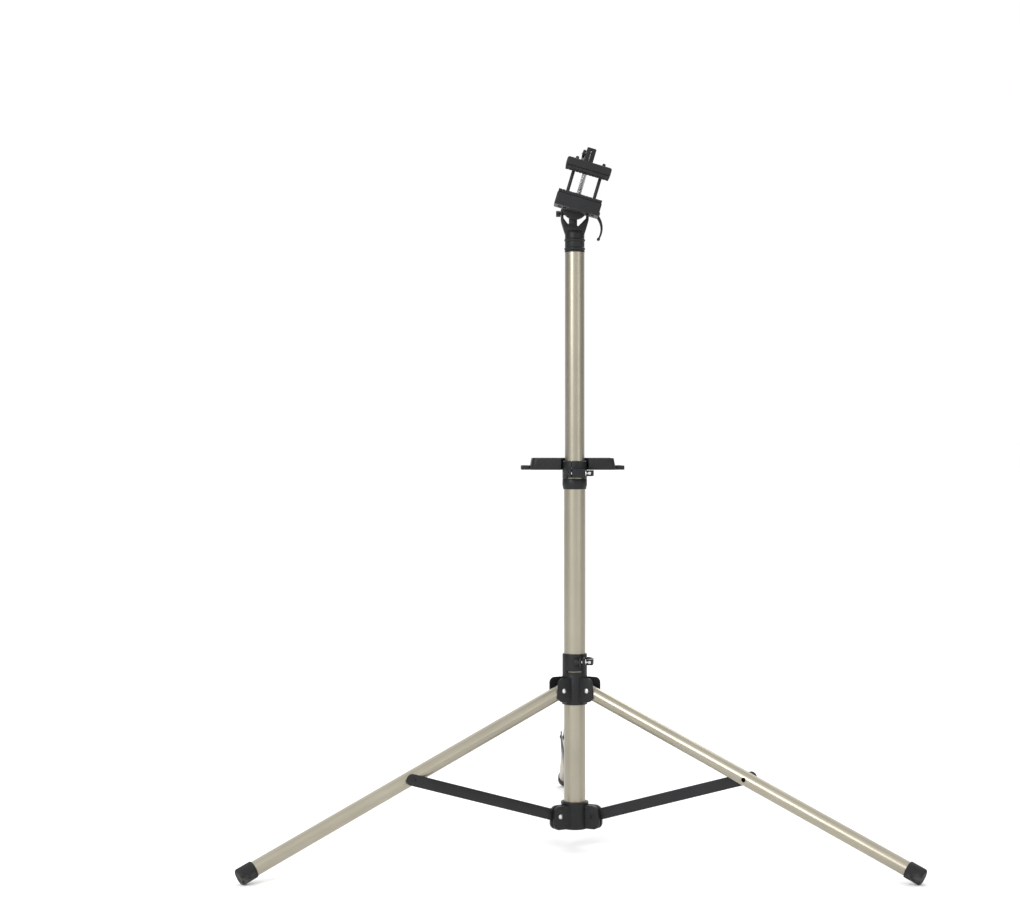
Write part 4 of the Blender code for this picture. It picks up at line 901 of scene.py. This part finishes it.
class STAND_OT_tool_tray(Operator):
    """Tool tray behind the mast, with a slotted wing at each side, and its two screws"""

    bl_idname = "stand.tool_tray"
    bl_label = "Tool tray"

    def execute(self, context):
        mast = context.scene.stand_mast
        low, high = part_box("tool_tray")
        left, right = low.x + mast.wing_reach, high.x - mast.wing_reach
        front, back, bottom, top = low.y, high.y, low.z, high.z
        wall, corner = mast.tray_wall, 0.010
        shell = self.pan(left, right, front, back, corner)
        rim = wall + mast.tray_slope
        pocket = self.pan(left + rim, right - rim, front + wall, back - wall, corner - wall)
        tray = slab(shell, bottom, top, rounding=0.0008)
        hollow = slab(pocket, bottom + mast.tray_floor, top + 0.01, rounding=0.0016)
        middle, half = (left + right) / 2, (right - left) / 2
        self.lean(tray, middle, 1 - mast.tray_slope / half)
        ring_radius = mast.tray_notch + wall
        carve(
            hollow,
            rod(ring_radius, (0, 0, bottom - 0.01), (0, 0, top + 0.02)),
            box((-ring_radius, front - 0.01, bottom - 0.01), (ring_radius, 0, top + 0.02)),
        )
        wing_top = bottom + mast.wing_thickness
        wings, slots = [], []
        for edge, side in ((left, -1), (right, 1)):
            near, far = edge - side * 0.002, edge + side * mast.wing_reach
            outline = rounded(
                [
                    (min(near, far), 0.012, 0.004),
                    (max(near, far), 0.012, 0.004),
                    (max(near, far), 0.112, 0.004),
                    (min(near, far), 0.112, 0.004),
                ]
            )
            wings.append(slab(outline, bottom + 0.00005, wing_top, rounding=0.0008))
            middle = edge + side * mast.wing_reach / 2
            slot = slab(stadium(-0.0335, 0.0335, 0.0045), -0.03, 0.03)
            slots.append(moved(slot, Matrix.Translation((middle, 0.062, bottom)) @ turn(math.pi / 2, "Z")))
        below, above = bottom - 0.02, top + 0.02
        notch = rod(mast.tray_notch, (0, 0, below), (0, 0, above))
        mouth = box((-mast.tray_notch, front - 0.02, below), (mast.tray_notch, 0, above))
        holes = [rod(0.0023, (0, y, below), (0, y, above), 24) for y in (0.036, 0.053)]
        weld(tray, *wings)
        carve(tray, hollow, notch, mouth, *slots, *holes)
        finish(tray, "tool_tray", "mast", "moulded-black")
        for name, y in (("front", 0.036), ("rear", 0.053)):
            seat = bottom + mast.tray_floor + GAP
            end = node_span(f"tray_screw_{name}", 2)[0] - seat
            screw = pin(0.002, 0.004, 0.0022, end, 0.0, both=False, socket=0.0017)
            moved(screw, turn(math.pi / 2, "X"))
            finish(screw, f"tray_screw_{name}", "mast", "coated-black", Matrix.Translation((0, y, seat)))
        return {"FINISHED"}

    def lean(self, piece, middle, share):
        """Draws the upper rim in towards the middle."""
        level = sum(node_span("tool_tray", 2)) / 2
        select_only(piece)
        bpy.ops.object.mode_set(mode="EDIT")
        bpy.ops.mesh.select_all(action="DESELECT")
        bpy.ops.object.mode_set(mode="OBJECT")
        for vertex in piece.data.vertices:
            vertex.select = vertex.co.z > level
        bpy.ops.object.mode_set(mode="EDIT")
        bpy.ops.transform.resize(value=(share, 1, 1), center_override=(middle, 0, 0))
        bpy.ops.object.mode_set(mode="OBJECT")

    def pan(self, left, right, front, back, corner):
        return rounded(
            [(left, front, corner), (right, front, corner), (right, back, corner), (left, back, corner)]
        )


# ---------------------------------------------------------------- tripod


class STAND_OT_hub(Operator):
    """Sliding hub with three clevises, its pivot bolts and its quick release"""

    bl_idname = "stand.hub"
    bl_label = "Hub"

    def execute(self, context):
        mast, tripod = context.scene.stand_mast, context.scene.stand_tripod
        level = joint_point("leg_fold_rear").z
        reach = joint_reach("leg_fold_rear")
        bottom, top = (value - level for value in node_span("hub_casting", 2))
        radius, band = tripod.hub_radius, mast.band_radius
        profile = [
            *fillet(0.0012, 90, 0, (band - 0.0012, top - 0.0012)),
            (band, 0.0240),
            (radius, 0.0224),
            *fillet(0.0014, 0, -90, (radius - 0.0014, bottom + 0.0014)),
        ]
        hub = lathe(profile)
        slot_half = tripod.leg_radius + 0.0005
        half = slot_half + tripod.hub_ear
        inner = radius - 0.006
        outline = rounded(
            [
                (inner, -0.0200, 0),
                (tripod.hub_lug_reach, -0.0200, 0.010),
                (tripod.hub_lug_reach, 0.0222, 0.010),
                (inner, 0.0222, 0),
            ]
        )
        turns = [turn(arm_angle(name), "Z") for name in ARMS]
        weld(hub, *copies(slab(outline, -half, half, "XZ", 0.0009), turns))
        pivot = joint_point("hub_lever_swing")
        ears, cuts = pinch_ears(pivot.z - level, 0.0322, 0.0115, band)
        weld(hub, ears)
        floor = mast.lower_radius + 0.0019
        slot = box((floor, -slot_half, bottom - 0.01), (0.08, slot_half, 0.0272))
        hole = rod(0.0028, (reach, -0.03, 0), (reach, 0.03, 0), 32)
        bore = rod(mast.lower_radius + 0.0004, (0, 0, -0.1), (0, 0, 0.1), 96)
        carve(hub, *copies(slot, turns), *copies(hole, turns), bore, *cuts)
        place = Matrix.Translation((0, 0, level))
        finish(hub, "hub_casting", "hub", "moulded-black", place)
        for name, angle in zip(ARMS, turns):
            bolt = pin(0.0025, 0.0042, 0.0017, -half - GAP, half + GAP)
            moved(bolt, Matrix.Translation((reach, 0, 0)))
            finish(bolt, f"leg_pivot_bolt_{name}", "hub", "zinc-bright", place @ angle)
        quick_release("hub", "hub", "hub_lever", Matrix.Translation(pivot), BAND_LEVER)
        return {"FINISHED"}


class STAND_OT_legs(Operator):
    """Three leg tubes with their rubber foot caps"""

    bl_idname = "stand.legs"
    bl_label = "Legs"

    def execute(self, context):
        tripod = context.scene.stand_tripod
        along = turn(math.pi / 2, "Y")
        offset = tripod.leg_offset
        drop = Matrix.Translation((0, 0, offset))
        radius = tripod.leg_radius
        end = tripod.leg_length + tripod.cap_length / 2 - 0.0063
        for name in ARMS:
            place = leg_place(name, tripod.leg_pitch)
            rings = tube_rings(radius, radius - tripod.leg_wall, end, -0.004)
            tube = lathe(rings, ring=True, vertices=72)
            moved(tube, drop @ along)
            across = rod(0.0029, (0, -0.03, 0), (0, 0.03, 0), 32)
            start, stop = (tripod.strap_at_leg, -0.03, offset), (tripod.strap_at_leg, 0, offset)
            far = rod(0.0040, start, stop, 40)
            mitre = box((-0.05, -0.02, -0.03), (-0.0102, 0.02, 0.03))
            moved(mitre, turn(math.radians(-54.6), "Y"))
            carve(tube, across, far, mitre)
            finish(tube, f"leg_tube_{name}", f"leg_{name}", leg_finish(name), place)
            cap = self.cap(tripod)
            moved(cap, Matrix.Translation((tripod.leg_length, 0, 0)) @ drop @ along)
            finish(cap, f"foot_cap_{name}", f"leg_{name}", "rubber-black", place)
            self.wear_flat(cap)
        return {"FINISHED"}

    def cap(self, tripod):
        """A closed cup with a rolled rim and a rounded sole."""
        outer, inner = tripod.cap_radius, tripod.leg_radius + GAP
        half = tripod.cap_length / 2
        profile = [
            *fillet(0.0036, 84, 0, (outer - 0.0036, half - 0.0036), 8),
            (outer, -half + 0.0012),
            (outer - 0.0004, -half + 0.0003),
            (outer - 0.0009, -half),
            (inner, -half),
            (inner, half - 0.006),
        ]
        return lathe(profile)

    def wear_flat(self, cap):
        """Cuts the cap at the floor, and closes the cut."""
        select_only(cap)
        bpy.ops.object.mode_set(mode="EDIT")
        bpy.ops.mesh.select_all(action="SELECT")
        bpy.ops.mesh.bisect(
            plane_co=(0, 0, 0), plane_no=(0, 0, 1), use_fill=True, clear_inner=True, threshold=1e-7
        )
        bpy.ops.object.mode_set(mode="OBJECT")


class STAND_OT_straps(Operator):
    """Three flat straps, each with the bolt that meets its leg"""

    bl_idname = "stand.straps"
    bl_label = "Straps"

    def execute(self, context):
        mast, tripod = context.scene.stand_mast, context.scene.stand_tripod
        pivot, foot = joint_reach("leg_fold_rear"), joint_reach("strap_fold_rear")
        along, across = math.cos(tripod.leg_pitch), math.sin(tripod.leg_pitch)
        run = pivot + tripod.strap_at_leg * along + tripod.leg_offset * across - foot
        drop = tripod.strap_at_leg * across - tripod.leg_offset * along
        rise = joint_point("leg_fold_rear").z - drop - joint_point("strap_fold_rear").z
        length, slope = math.hypot(run, rise), math.atan2(rise, run)
        radius, thickness = tripod.strap_width / 2, tripod.strap_thickness
        near_side = mast.collar_lug_shift
        inside = tripod.leg_radius + GAP
        far_side = inside + 0.001 + thickness / 2
        for name in ARMS:
            place = strap_place(name, slope)
            path = self.joggle(length, radius + tripod.strap_overhang, near_side, far_side)
            bar = slab(ribbon(path, [thickness / 2] * len(path)), -0.02, 0.02)
            ends = slab(stadium(0, length + tripod.strap_overhang, radius), -0.04, 0.04, "XZ")
            use_tools(bar, "INTERSECT", [ends])
            near = rod(0.0029, (0, -0.03, 0), (0, 0.03, 0), 32)
            far = rod(0.0028, (length, 0, 0), (length, 0.04, 0), 32)
            carve(bar, near, far)
            self.soften(bar)
            finish(bar, f"strap_{name}", f"strap_{name}", "coated-black", place)
            outside = far_side + thickness / 2 + GAP
            bolt = pin(0.0025, 0.0042, 0.0017, inside, outside, both=False, socket=0.0019)
            moved(bolt, Matrix.Translation((length, 0, 0)))
            finish(bolt, f"strap_bolt_{name}", f"strap_{name}", "coated-black", place)
        return {"FINISHED"}

    def joggle(self, length, radius, near_side, far_side):
        """Straight at both ends, with an even smooth shift between them."""
        straight, steps = 0.045, 16
        path = [Vector((-radius - 0.001, near_side))]
        for step in range(steps + 1):
            share = step / steps
            across = near_side + (far_side - near_side) * share
            path.append(Vector((straight + (length - 2 * straight) * share, across)))
        return path + [Vector((length + radius + 0.001, far_side))]

    def soften(self, bar):
        select_only(bar)
        step = bar.modifiers.new("soften", "BEVEL")
        step.width = 0.0004
        step.segments = 2
        step.limit_method = "ANGLE"
        step.angle_limit = math.radians(50)
        bpy.ops.object.modifier_apply(modifier=step.name)


# ---------------------------------------------------------------- head


def yoke_outline(foot):
    """Shoulders, two horns and the pillar between them, as seen from the front."""
    reach, top, inner, valley = 0.0250, foot + 0.0761, 0.0207, foot + 0.0596
    left, right, axis = -0.0102, 0.0040, joint_point("head_turn").z
    return rounded(
        [
            (-0.0158, foot + 0.0276, 0),
            (0.0158, foot + 0.0276, 0),
            (0.0198, foot + 0.0396, 0.012),
            (reach - 0.0005, foot + 0.0556, 0.02),
            (reach, top, 0.0018),
            (inner, top, 0.0018),
            (inner - 0.0008, valley, 0.002),
            (right, foot + 0.0436, 0.0015),
            (right, axis, 0),
            (left, axis, 0),
            (left, foot + 0.0466, 0.0015),
            (-inner + 0.0008, valley, 0.002),
            (-inner, top, 0.0018),
            (-reach, top, 0.0018),
            (-reach + 0.0005, foot + 0.0556, 0.02),
            (-0.0198, foot + 0.0396, 0.012),
        ]
    )


class STAND_OT_yoke(Operator):
    """Yoke on the upper tube, and its quick release"""

    bl_idname = "stand.yoke"
    bl_label = "Yoke"

    def execute(self, context):
        mast, clamp = context.scene.stand_mast, context.scene.stand_clamp
        tube_top = node_span("upper_mast_tube", 2)[1]
        foot = tube_top + GAP
        bottom = node_span("mast_head", 2)[0]
        radius, ring = mast.upper_radius, mast.upper_radius + 0.0013
        spigot = mast.upper_radius - mast.upper_wall - GAP
        profile = [
            *fillet(0.004, 90, 30, (radius - 0.004, tube_top + 0.0336), 4),
            (radius, tube_top + 0.0316),
            (radius, foot + 0.0240),
            *fillet(0.0030, 62, -62, (ring - 0.0030, foot + 0.0210), 6),
            (radius, foot + 0.0180),
            (radius, foot + 0.0090),
            *fillet(0.0030, 62, -62, (ring - 0.0030, foot + 0.0055), 6),
            (radius + 0.0005, foot + 0.0020),
            (radius + 0.0004, foot),
            (spigot, foot),
            (spigot, bottom + 0.001),
            (spigot - 0.001, bottom),
        ]
        yoke = lathe(profile)
        half, axis = clamp.yoke_depth / 2, joint_point("head_turn").z
        fork = slab(yoke_outline(tube_top), -half, half, "XZ", 0.0014)
        shaft_ring = rod(0.013, (0, -half - 0.002, axis), (0, half + 0.002, axis), 64, 0.0010)
        weld(yoke, fork, shaft_ring)
        level = joint_point("head_lever_swing").z
        carve(
            yoke,
            rod(0.0064, (0, -0.1, axis), (0, 0.1, axis), 48),
            rod(0.0115, (0, 0, bottom - 0.01), (0, 0, tube_top + 0.0276), 48),
            rod(0.0028, (-0.05, 0, level), (0.05, 0, level), 32),
            box((-0.0008, -0.05, tube_top + 0.0571), (0.0008, 0.05, axis - 0.003)),
        )
        finish(yoke, "mast_head", "upper_mast", "moulded-black")
        place = Matrix.Translation(joint_point("head_lever_swing")) @ turn(-math.pi / 2, "X")
        quick_release("head", "upper_mast", "head_lever", place, HEAD_LEVER, "coated-black")
        return {"FINISHED"}


class STAND_OT_clamp_shaft(Operator):
    """Shaft and disc that turn in the yoke, with their nut"""

    bl_idname = "stand.clamp_shaft"
    bl_label = "Clamp shaft"

    def execute(self, context):
        clamp = context.scene.stand_clamp
        place = clamp_place()
        back = clamp.yoke_depth / 2 + 0.002
        face = -back - GAP
        front = face - clamp.disc_thickness
        tail = node_span("clamp_shaft", 1)[1]
        disc, shaft = clamp.disc_radius, 0.006
        profile = [
            (shaft - 0.0010, tail),
            (shaft, tail - 0.0010),
            (shaft, face),
            *fillet(0.0010, 90, 0, (disc - 0.0010, face - 0.0010)),
            (disc, (face + front) / 2 + 0.0012),
            (disc - 0.0008, (face + front) / 2 + 0.0006),
            (disc - 0.0008, (face + front) / 2 - 0.0006),
            (disc, (face + front) / 2 - 0.0012),
            *fillet(0.0010, 0, -90, (disc - 0.0010, front + 0.0010)),
        ]
        piece = lathe(profile)
        moved(piece, turn(-math.pi / 2, "X"))
        for x in (-0.0125, 0.0125):
            carve(
                piece,
                rod(0.0023, (x, front - 0.01, -0.004), (x, 0.02, -0.004), 24),
                rod(0.0043, (x, face - 0.0031, -0.004), (x, 0.02, -0.004), 32),
            )
        finish(piece, "clamp_shaft", "clamp", "coated-black", place)
        low, high = node_span("shaft_nut", 1)
        nut = rod(0.0105, (0, low, 0), (0, high, 0), 6, 0.0007)
        carve(nut, rod(0.0063, (0, 0, 0), (0, 0.05, 0), 40))
        finish(nut, "shaft_nut", "clamp", "zinc-bright", place, 25)
        return {"FINISHED"}


def jaw_body(clamp, low, high, front, back):
    """A jaw block with rounded ends and softened rims."""
    left = clamp.jaw_centre - clamp.jaw_length / 2
    right = clamp.jaw_centre + clamp.jaw_length / 2
    outline = rounded(
        [(left, front, 0.003), (right, front, 0.003), (right, back, 0.002), (left, back, 0.002)]
    )
    return slab(outline, low, high, rounding=0.0012)


class STAND_OT_jaws(Operator):
    """Both jaws with their grooved rubber pads, the threaded spindle and the guide pins"""

    bl_idname = "stand.jaws"
    bl_label = "Jaws"

    def execute(self, context):
        clamp = context.scene.stand_clamp
        place = clamp_place()
        front, back = -0.076, -clamp.yoke_depth / 2 - 0.0026 - clamp.disc_thickness
        lower_low, lower_high = -0.0117, 0.0105
        upper_low, upper_high = 0.0605, 0.0743
        y = clamp.spindle_back
        rods = (
            ("jaw_spindle", 0.0, 0.0045, 0.098),
            ("jaw_guide_pin_left", -0.0202, 0.003, 0.0845),
            ("jaw_guide_pin_right", 0.0283, 0.003, 0.0845),
        )
        lower = jaw_body(clamp, lower_low, lower_high, front, back)
        upper = jaw_body(clamp, upper_low, upper_high, front, back)
        left, right = (clamp.jaw_centre + side * clamp.jaw_length / 2 for side in (-1, 1))
        crown = rounded(
            [
                (left, upper_low, 0.0008),
                (right, upper_low, 0.0008),
                (right, upper_high, 0.0042),
                (left, upper_high, 0.0042),
            ]
        )
        use_tools(upper, "INTERSECT", [slab(crown, front - 0.01, back + 0.01, "XZ")])
        seats = [rod(r + GAP, (x, y, -0.0053), (x, y, 0.03), 40) for _, x, r, _ in rods]
        bores = [rod(r + 0.0004, (x, y, 0.04), (x, y, 0.13), 40) for _, x, r, _ in rods]
        bolts = [rod(0.0023, (x, -0.0401, -0.004), (x, 0.02, -0.004), 24) for x in (-0.0125, 0.0125)]
        carve(lower, *seats, *bolts, *self.ribs(clamp, lower_low, 1))
        carve(upper, *bores, *self.ribs(clamp, upper_high, -1))
        finish(lower, "lower_jaw", "clamp", "moulded-black", place)
        finish(upper, "upper_jaw", "upper_jaw", "moulded-black", place)
        pad_top = lower_high + GAP + 0.0053
        low_pad = self.pad(clamp, front, lower_high + GAP, pad_top, pad_top, 1)
        finish(low_pad, "lower_jaw_pad", "clamp", "rubber-black", place)
        pad_bottom = pad_top + clamp.mouth
        high_pad = self.pad(clamp, front, pad_bottom, upper_low - GAP, pad_bottom, -1)
        finish(high_pad, "upper_jaw_pad", "upper_jaw", "rubber-black", place)
        for node, x, radius, top in rods:
            if node == "jaw_spindle":
                rings = thread_rings(radius, -top, 0.005, clamp.thread_pitch, 0.016)
                bar = lathe([(r, -z) for r, z in rings], vertices=40)
            else:
                bar = lathe([*fillet(radius * 0.8, 80, 0, (radius * 0.2, top - radius * 0.8), 5), (radius, -0.005)], vertices=40)
            moved(bar, Matrix.Translation((x, y, 0)))
            finish(bar, node, "clamp", "zinc-bright" if node == "jaw_spindle" else "coated-black", place)
        return {"FINISHED"}

    def ribs(self, clamp, level, side):
        """Shallow grooves across the outer face of a jaw, between its stiffening ribs."""
        tools = []
        for i in range(4):
            x = clamp.jaw_centre + (-0.030, -0.0205, 0.0205, 0.030)[i]
            outline = stadium(-0.016, 0.004, 0.0028, 8)
            tool = slab(outline, -0.0012, 0.0012, rounding=0.0)
            spot = Matrix.Translation((x, -0.0555, level)) @ turn(math.pi / 2, "Z")
            tools.append(moved(tool, spot))
        return tools

    def pad(self, clamp, front, low, high, mouth_level, side):
        """A rubber pad with a groove along it and fine ribs across its lands."""
        left = clamp.jaw_centre - clamp.jaw_length / 2 + 0.001
        right = clamp.jaw_centre + clamp.jaw_length / 2 - 0.001
        near, far = front + 0.001, -0.0395
        piece = box((left, near, low), (right, far, high), 0.0006)
        middle = (near + far) / 2
        centre = mouth_level + side * (0.024 - 0.003)
        groove = rod(0.024, (left - 0.01, middle, centre), (right + 0.01, middle, centre), 120)
        nicks = []
        for i in range(1, 13):
            x = left + (right - left) * i / 13
            nicks.append(
                box(
                    (x - 0.0005, near - 0.002, mouth_level - 0.0009),
                    (x + 0.0005, far + 0.002, mouth_level + 0.0009),
                )
            )
        return carve(piece, groove, *nicks)


class STAND_OT_clamp_top(Operator):
    """Washer, clamping nut, cam pin and cam lever above the upper jaw"""

    bl_idname = "stand.clamp_top"
    bl_label = "Clamp top"

    def execute(self, context):
        clamp = context.scene.stand_clamp
        place = clamp_place()
        y = clamp.spindle_back
        low, high = 0.0746, 0.0759
        washer = rod(0.010, (0, y, low), (0, y, high), 48, 0.0003)
        carve(washer, rod(0.0049, (0, y, 0.04), (0, y, 0.13), 40))
        finish(washer, "clamp_washer", "upper_jaw", "zinc-bright", place)
        half, top, bottom = 0.00825, 0.1038, high + GAP
        post = box((-half, y - half, bottom), (half, y + half, top), 0.0018, 4)
        height = 0.0910
        carve(
            post,
            rod(0.0049, (0, y, 0.04), (0, y, 0.13), 40),
            box((-0.0012, y - 0.02, bottom + 0.004), (0.0012, y, top - 0.004)),
            rod(0.0023, (-0.03, y, height), (-0.0052, y, height), 32),
        )
        finish(post, "clamp_nut", "upper_jaw", "moulded-black", place)
        bolt = pin(0.002, 0.0038, 0.0014, 0.0055, 0.01405, both=False, socket=0.0016)
        moved(bolt, Matrix.Translation((0, y, height)) @ turn(math.pi / 2, "Z"))
        finish(bolt, "clamp_cam_pin", "upper_jaw", "zinc-bright", place)
        lever = cam_lever(0.0052, *CLAMP_LEVER, 0.0075)
        carve(lever, rod(0.0023, (0, 0, -0.01), (0, 0, 0.01), 32))
        cam = Matrix.Translation((-0.01115, y, height)) @ turn(math.pi / 2, "Y")
        finish(lever, "clamp_lever", "clamp_lever", "moulded-black", place @ cam)
        return {"FINISHED"}


# ---------------------------------------------------------------- stage


class STAND_OT_stage(Operator):
    """Pale floor, soft studio light and the camera"""

    bl_idname = "stand.stage"
    bl_label = "Stage"

    def execute(self, context):
        deselect()
        bpy.ops.mesh.primitive_plane_add(size=120.0, location=(0, 0, 0))
        floor = settle(bpy.context.object)
        floor.name = "studio_floor"
        floor_finish("studio_floor")
        floor.data.materials.append(bpy.data.materials["studio_floor"])
        self.studio_light(context)
        context.scene.view_settings.view_transform = "Standard"
        lamps = (
            ("key", (-1.9, -2.6, 1.9), 1.0, 55.0),
            ("fill", (2.6, -2.4, 1.2), 1.2, 10.0),
            ("rear", (0.6, 2.8, 2.6), 1.6, 30.0),
        )
        for name, spot, width, power in lamps:
            light = bpy.data.lights.new(name, "AREA")
            light.size = width
            light.energy = power
            lamp = bpy.data.objects.new(name, light)
            lamp.location = spot
            aim = Vector((0, 0, 0.6)) - Vector(spot)
            lamp.rotation_euler = aim.to_track_quat("-Z", "Y").to_euler()
            context.scene.collection.objects.link(lamp)
        lens = bpy.data.cameras.new("camera")
        lens.sensor_width = 36.0
        lens.lens = 70.6
        camera = bpy.data.objects.new("camera", lens)
        camera.location = (-0.1146, -3.543, 0.704)
        camera.rotation_euler = (math.pi / 2, 0, 0)
        context.scene.collection.objects.link(camera)
        context.scene.camera = camera
        return {"FINISHED"}

    def studio_light(self, context):
        """A white room that is darker towards its two side walls, and brightest overhead."""
        world = bpy.data.worlds.new("studio")
        world.use_nodes = True
        tree = world.node_tree
        room = tree.nodes["Background"]
        place = tree.nodes.new("ShaderNodeTexCoord")
        split = tree.nodes.new("ShaderNodeSeparateXYZ")
        tree.links.new(place.outputs["Generated"], split.inputs[0])
        parts = []
        for axis, low, high, start, end in (("Y", 0.25, 0.88, 0.16, 1.02), ("Z", 0.25, 0.75, 0.0, 1.0)):
            size_of = tree.nodes.new("ShaderNodeMath")
            size_of.operation = "ABSOLUTE"
            tree.links.new(split.outputs[axis], size_of.inputs[0])
            share = tree.nodes.new("ShaderNodeMapRange")
            names = ("From Min", "From Max", "To Min", "To Max")
            for name, number in zip(names, (low, high, start, end)):
                share.inputs[name].default_value = number
            tree.links.new(size_of.outputs[0], share.inputs["Value"])
            parts.append(share.outputs["Result"])
        total = tree.nodes.new("ShaderNodeMath")
        total.operation = "ADD"
        for part, socket in zip(parts, total.inputs):
            tree.links.new(part, socket)
        tree.links.new(total.outputs[0], room.inputs["Strength"])
        room.inputs["Color"].default_value = (1.0, 1.0, 1.0, 1.0)
        context.scene.world = world


# ---------------------------------------------------------------- panel and registration

OPERATORS = (
    STAND_OT_finishes,
    STAND_OT_mast_tubes,
    STAND_OT_foot_collar,
    STAND_OT_mast_collar,
    STAND_OT_tool_tray,
    STAND_OT_hub,
    STAND_OT_legs,
    STAND_OT_straps,
    STAND_OT_yoke,
    STAND_OT_clamp_shaft,
    STAND_OT_jaws,
    STAND_OT_clamp_top,
    STAND_OT_stage,
)
GROUPS = {
    "stand_mast": MastSizes,
    "stand_tripod": TripodSizes,
    "stand_clamp": ClampSizes,
    "stand_finish": Finishes,
}


class STAND_PT_panel(Panel):
    """Lists the pieces and their sizes"""

    bl_label = "Repair stand"
    bl_idname = "STAND_PT_panel"
    bl_space_type = "VIEW_3D"
    bl_region_type = "UI"
    bl_category = "Repair stand"

    def draw(self, context):
        for operator in OPERATORS:
            self.layout.operator(operator.bl_idname)
        for name, group in GROUPS.items():
            settings = getattr(context.scene, name)
            column = self.layout.column(align=True)
            for key in group.__annotations__:
                column.prop(settings, key)


def register():
    for group in GROUPS.values():
        bpy.utils.register_class(group)
    for name, group in GROUPS.items():
        setattr(bpy.types.Scene, name, PointerProperty(type=group))
    for item in (*OPERATORS, STAND_PT_panel):
        bpy.utils.register_class(item)


def unregister():
    for item in reversed((*OPERATORS, STAND_PT_panel)):
        bpy.utils.unregister_class(item)
    for name in GROUPS:
        delattr(bpy.types.Scene, name)
    for group in reversed(GROUPS.values()):
        bpy.utils.unregister_class(group)


def main():
    register()
    for operator in OPERATORS:
        group, name = operator.bl_idname.split(".")
        getattr(getattr(bpy.ops, group), name)()


if __name__ == "__main__":
    main()
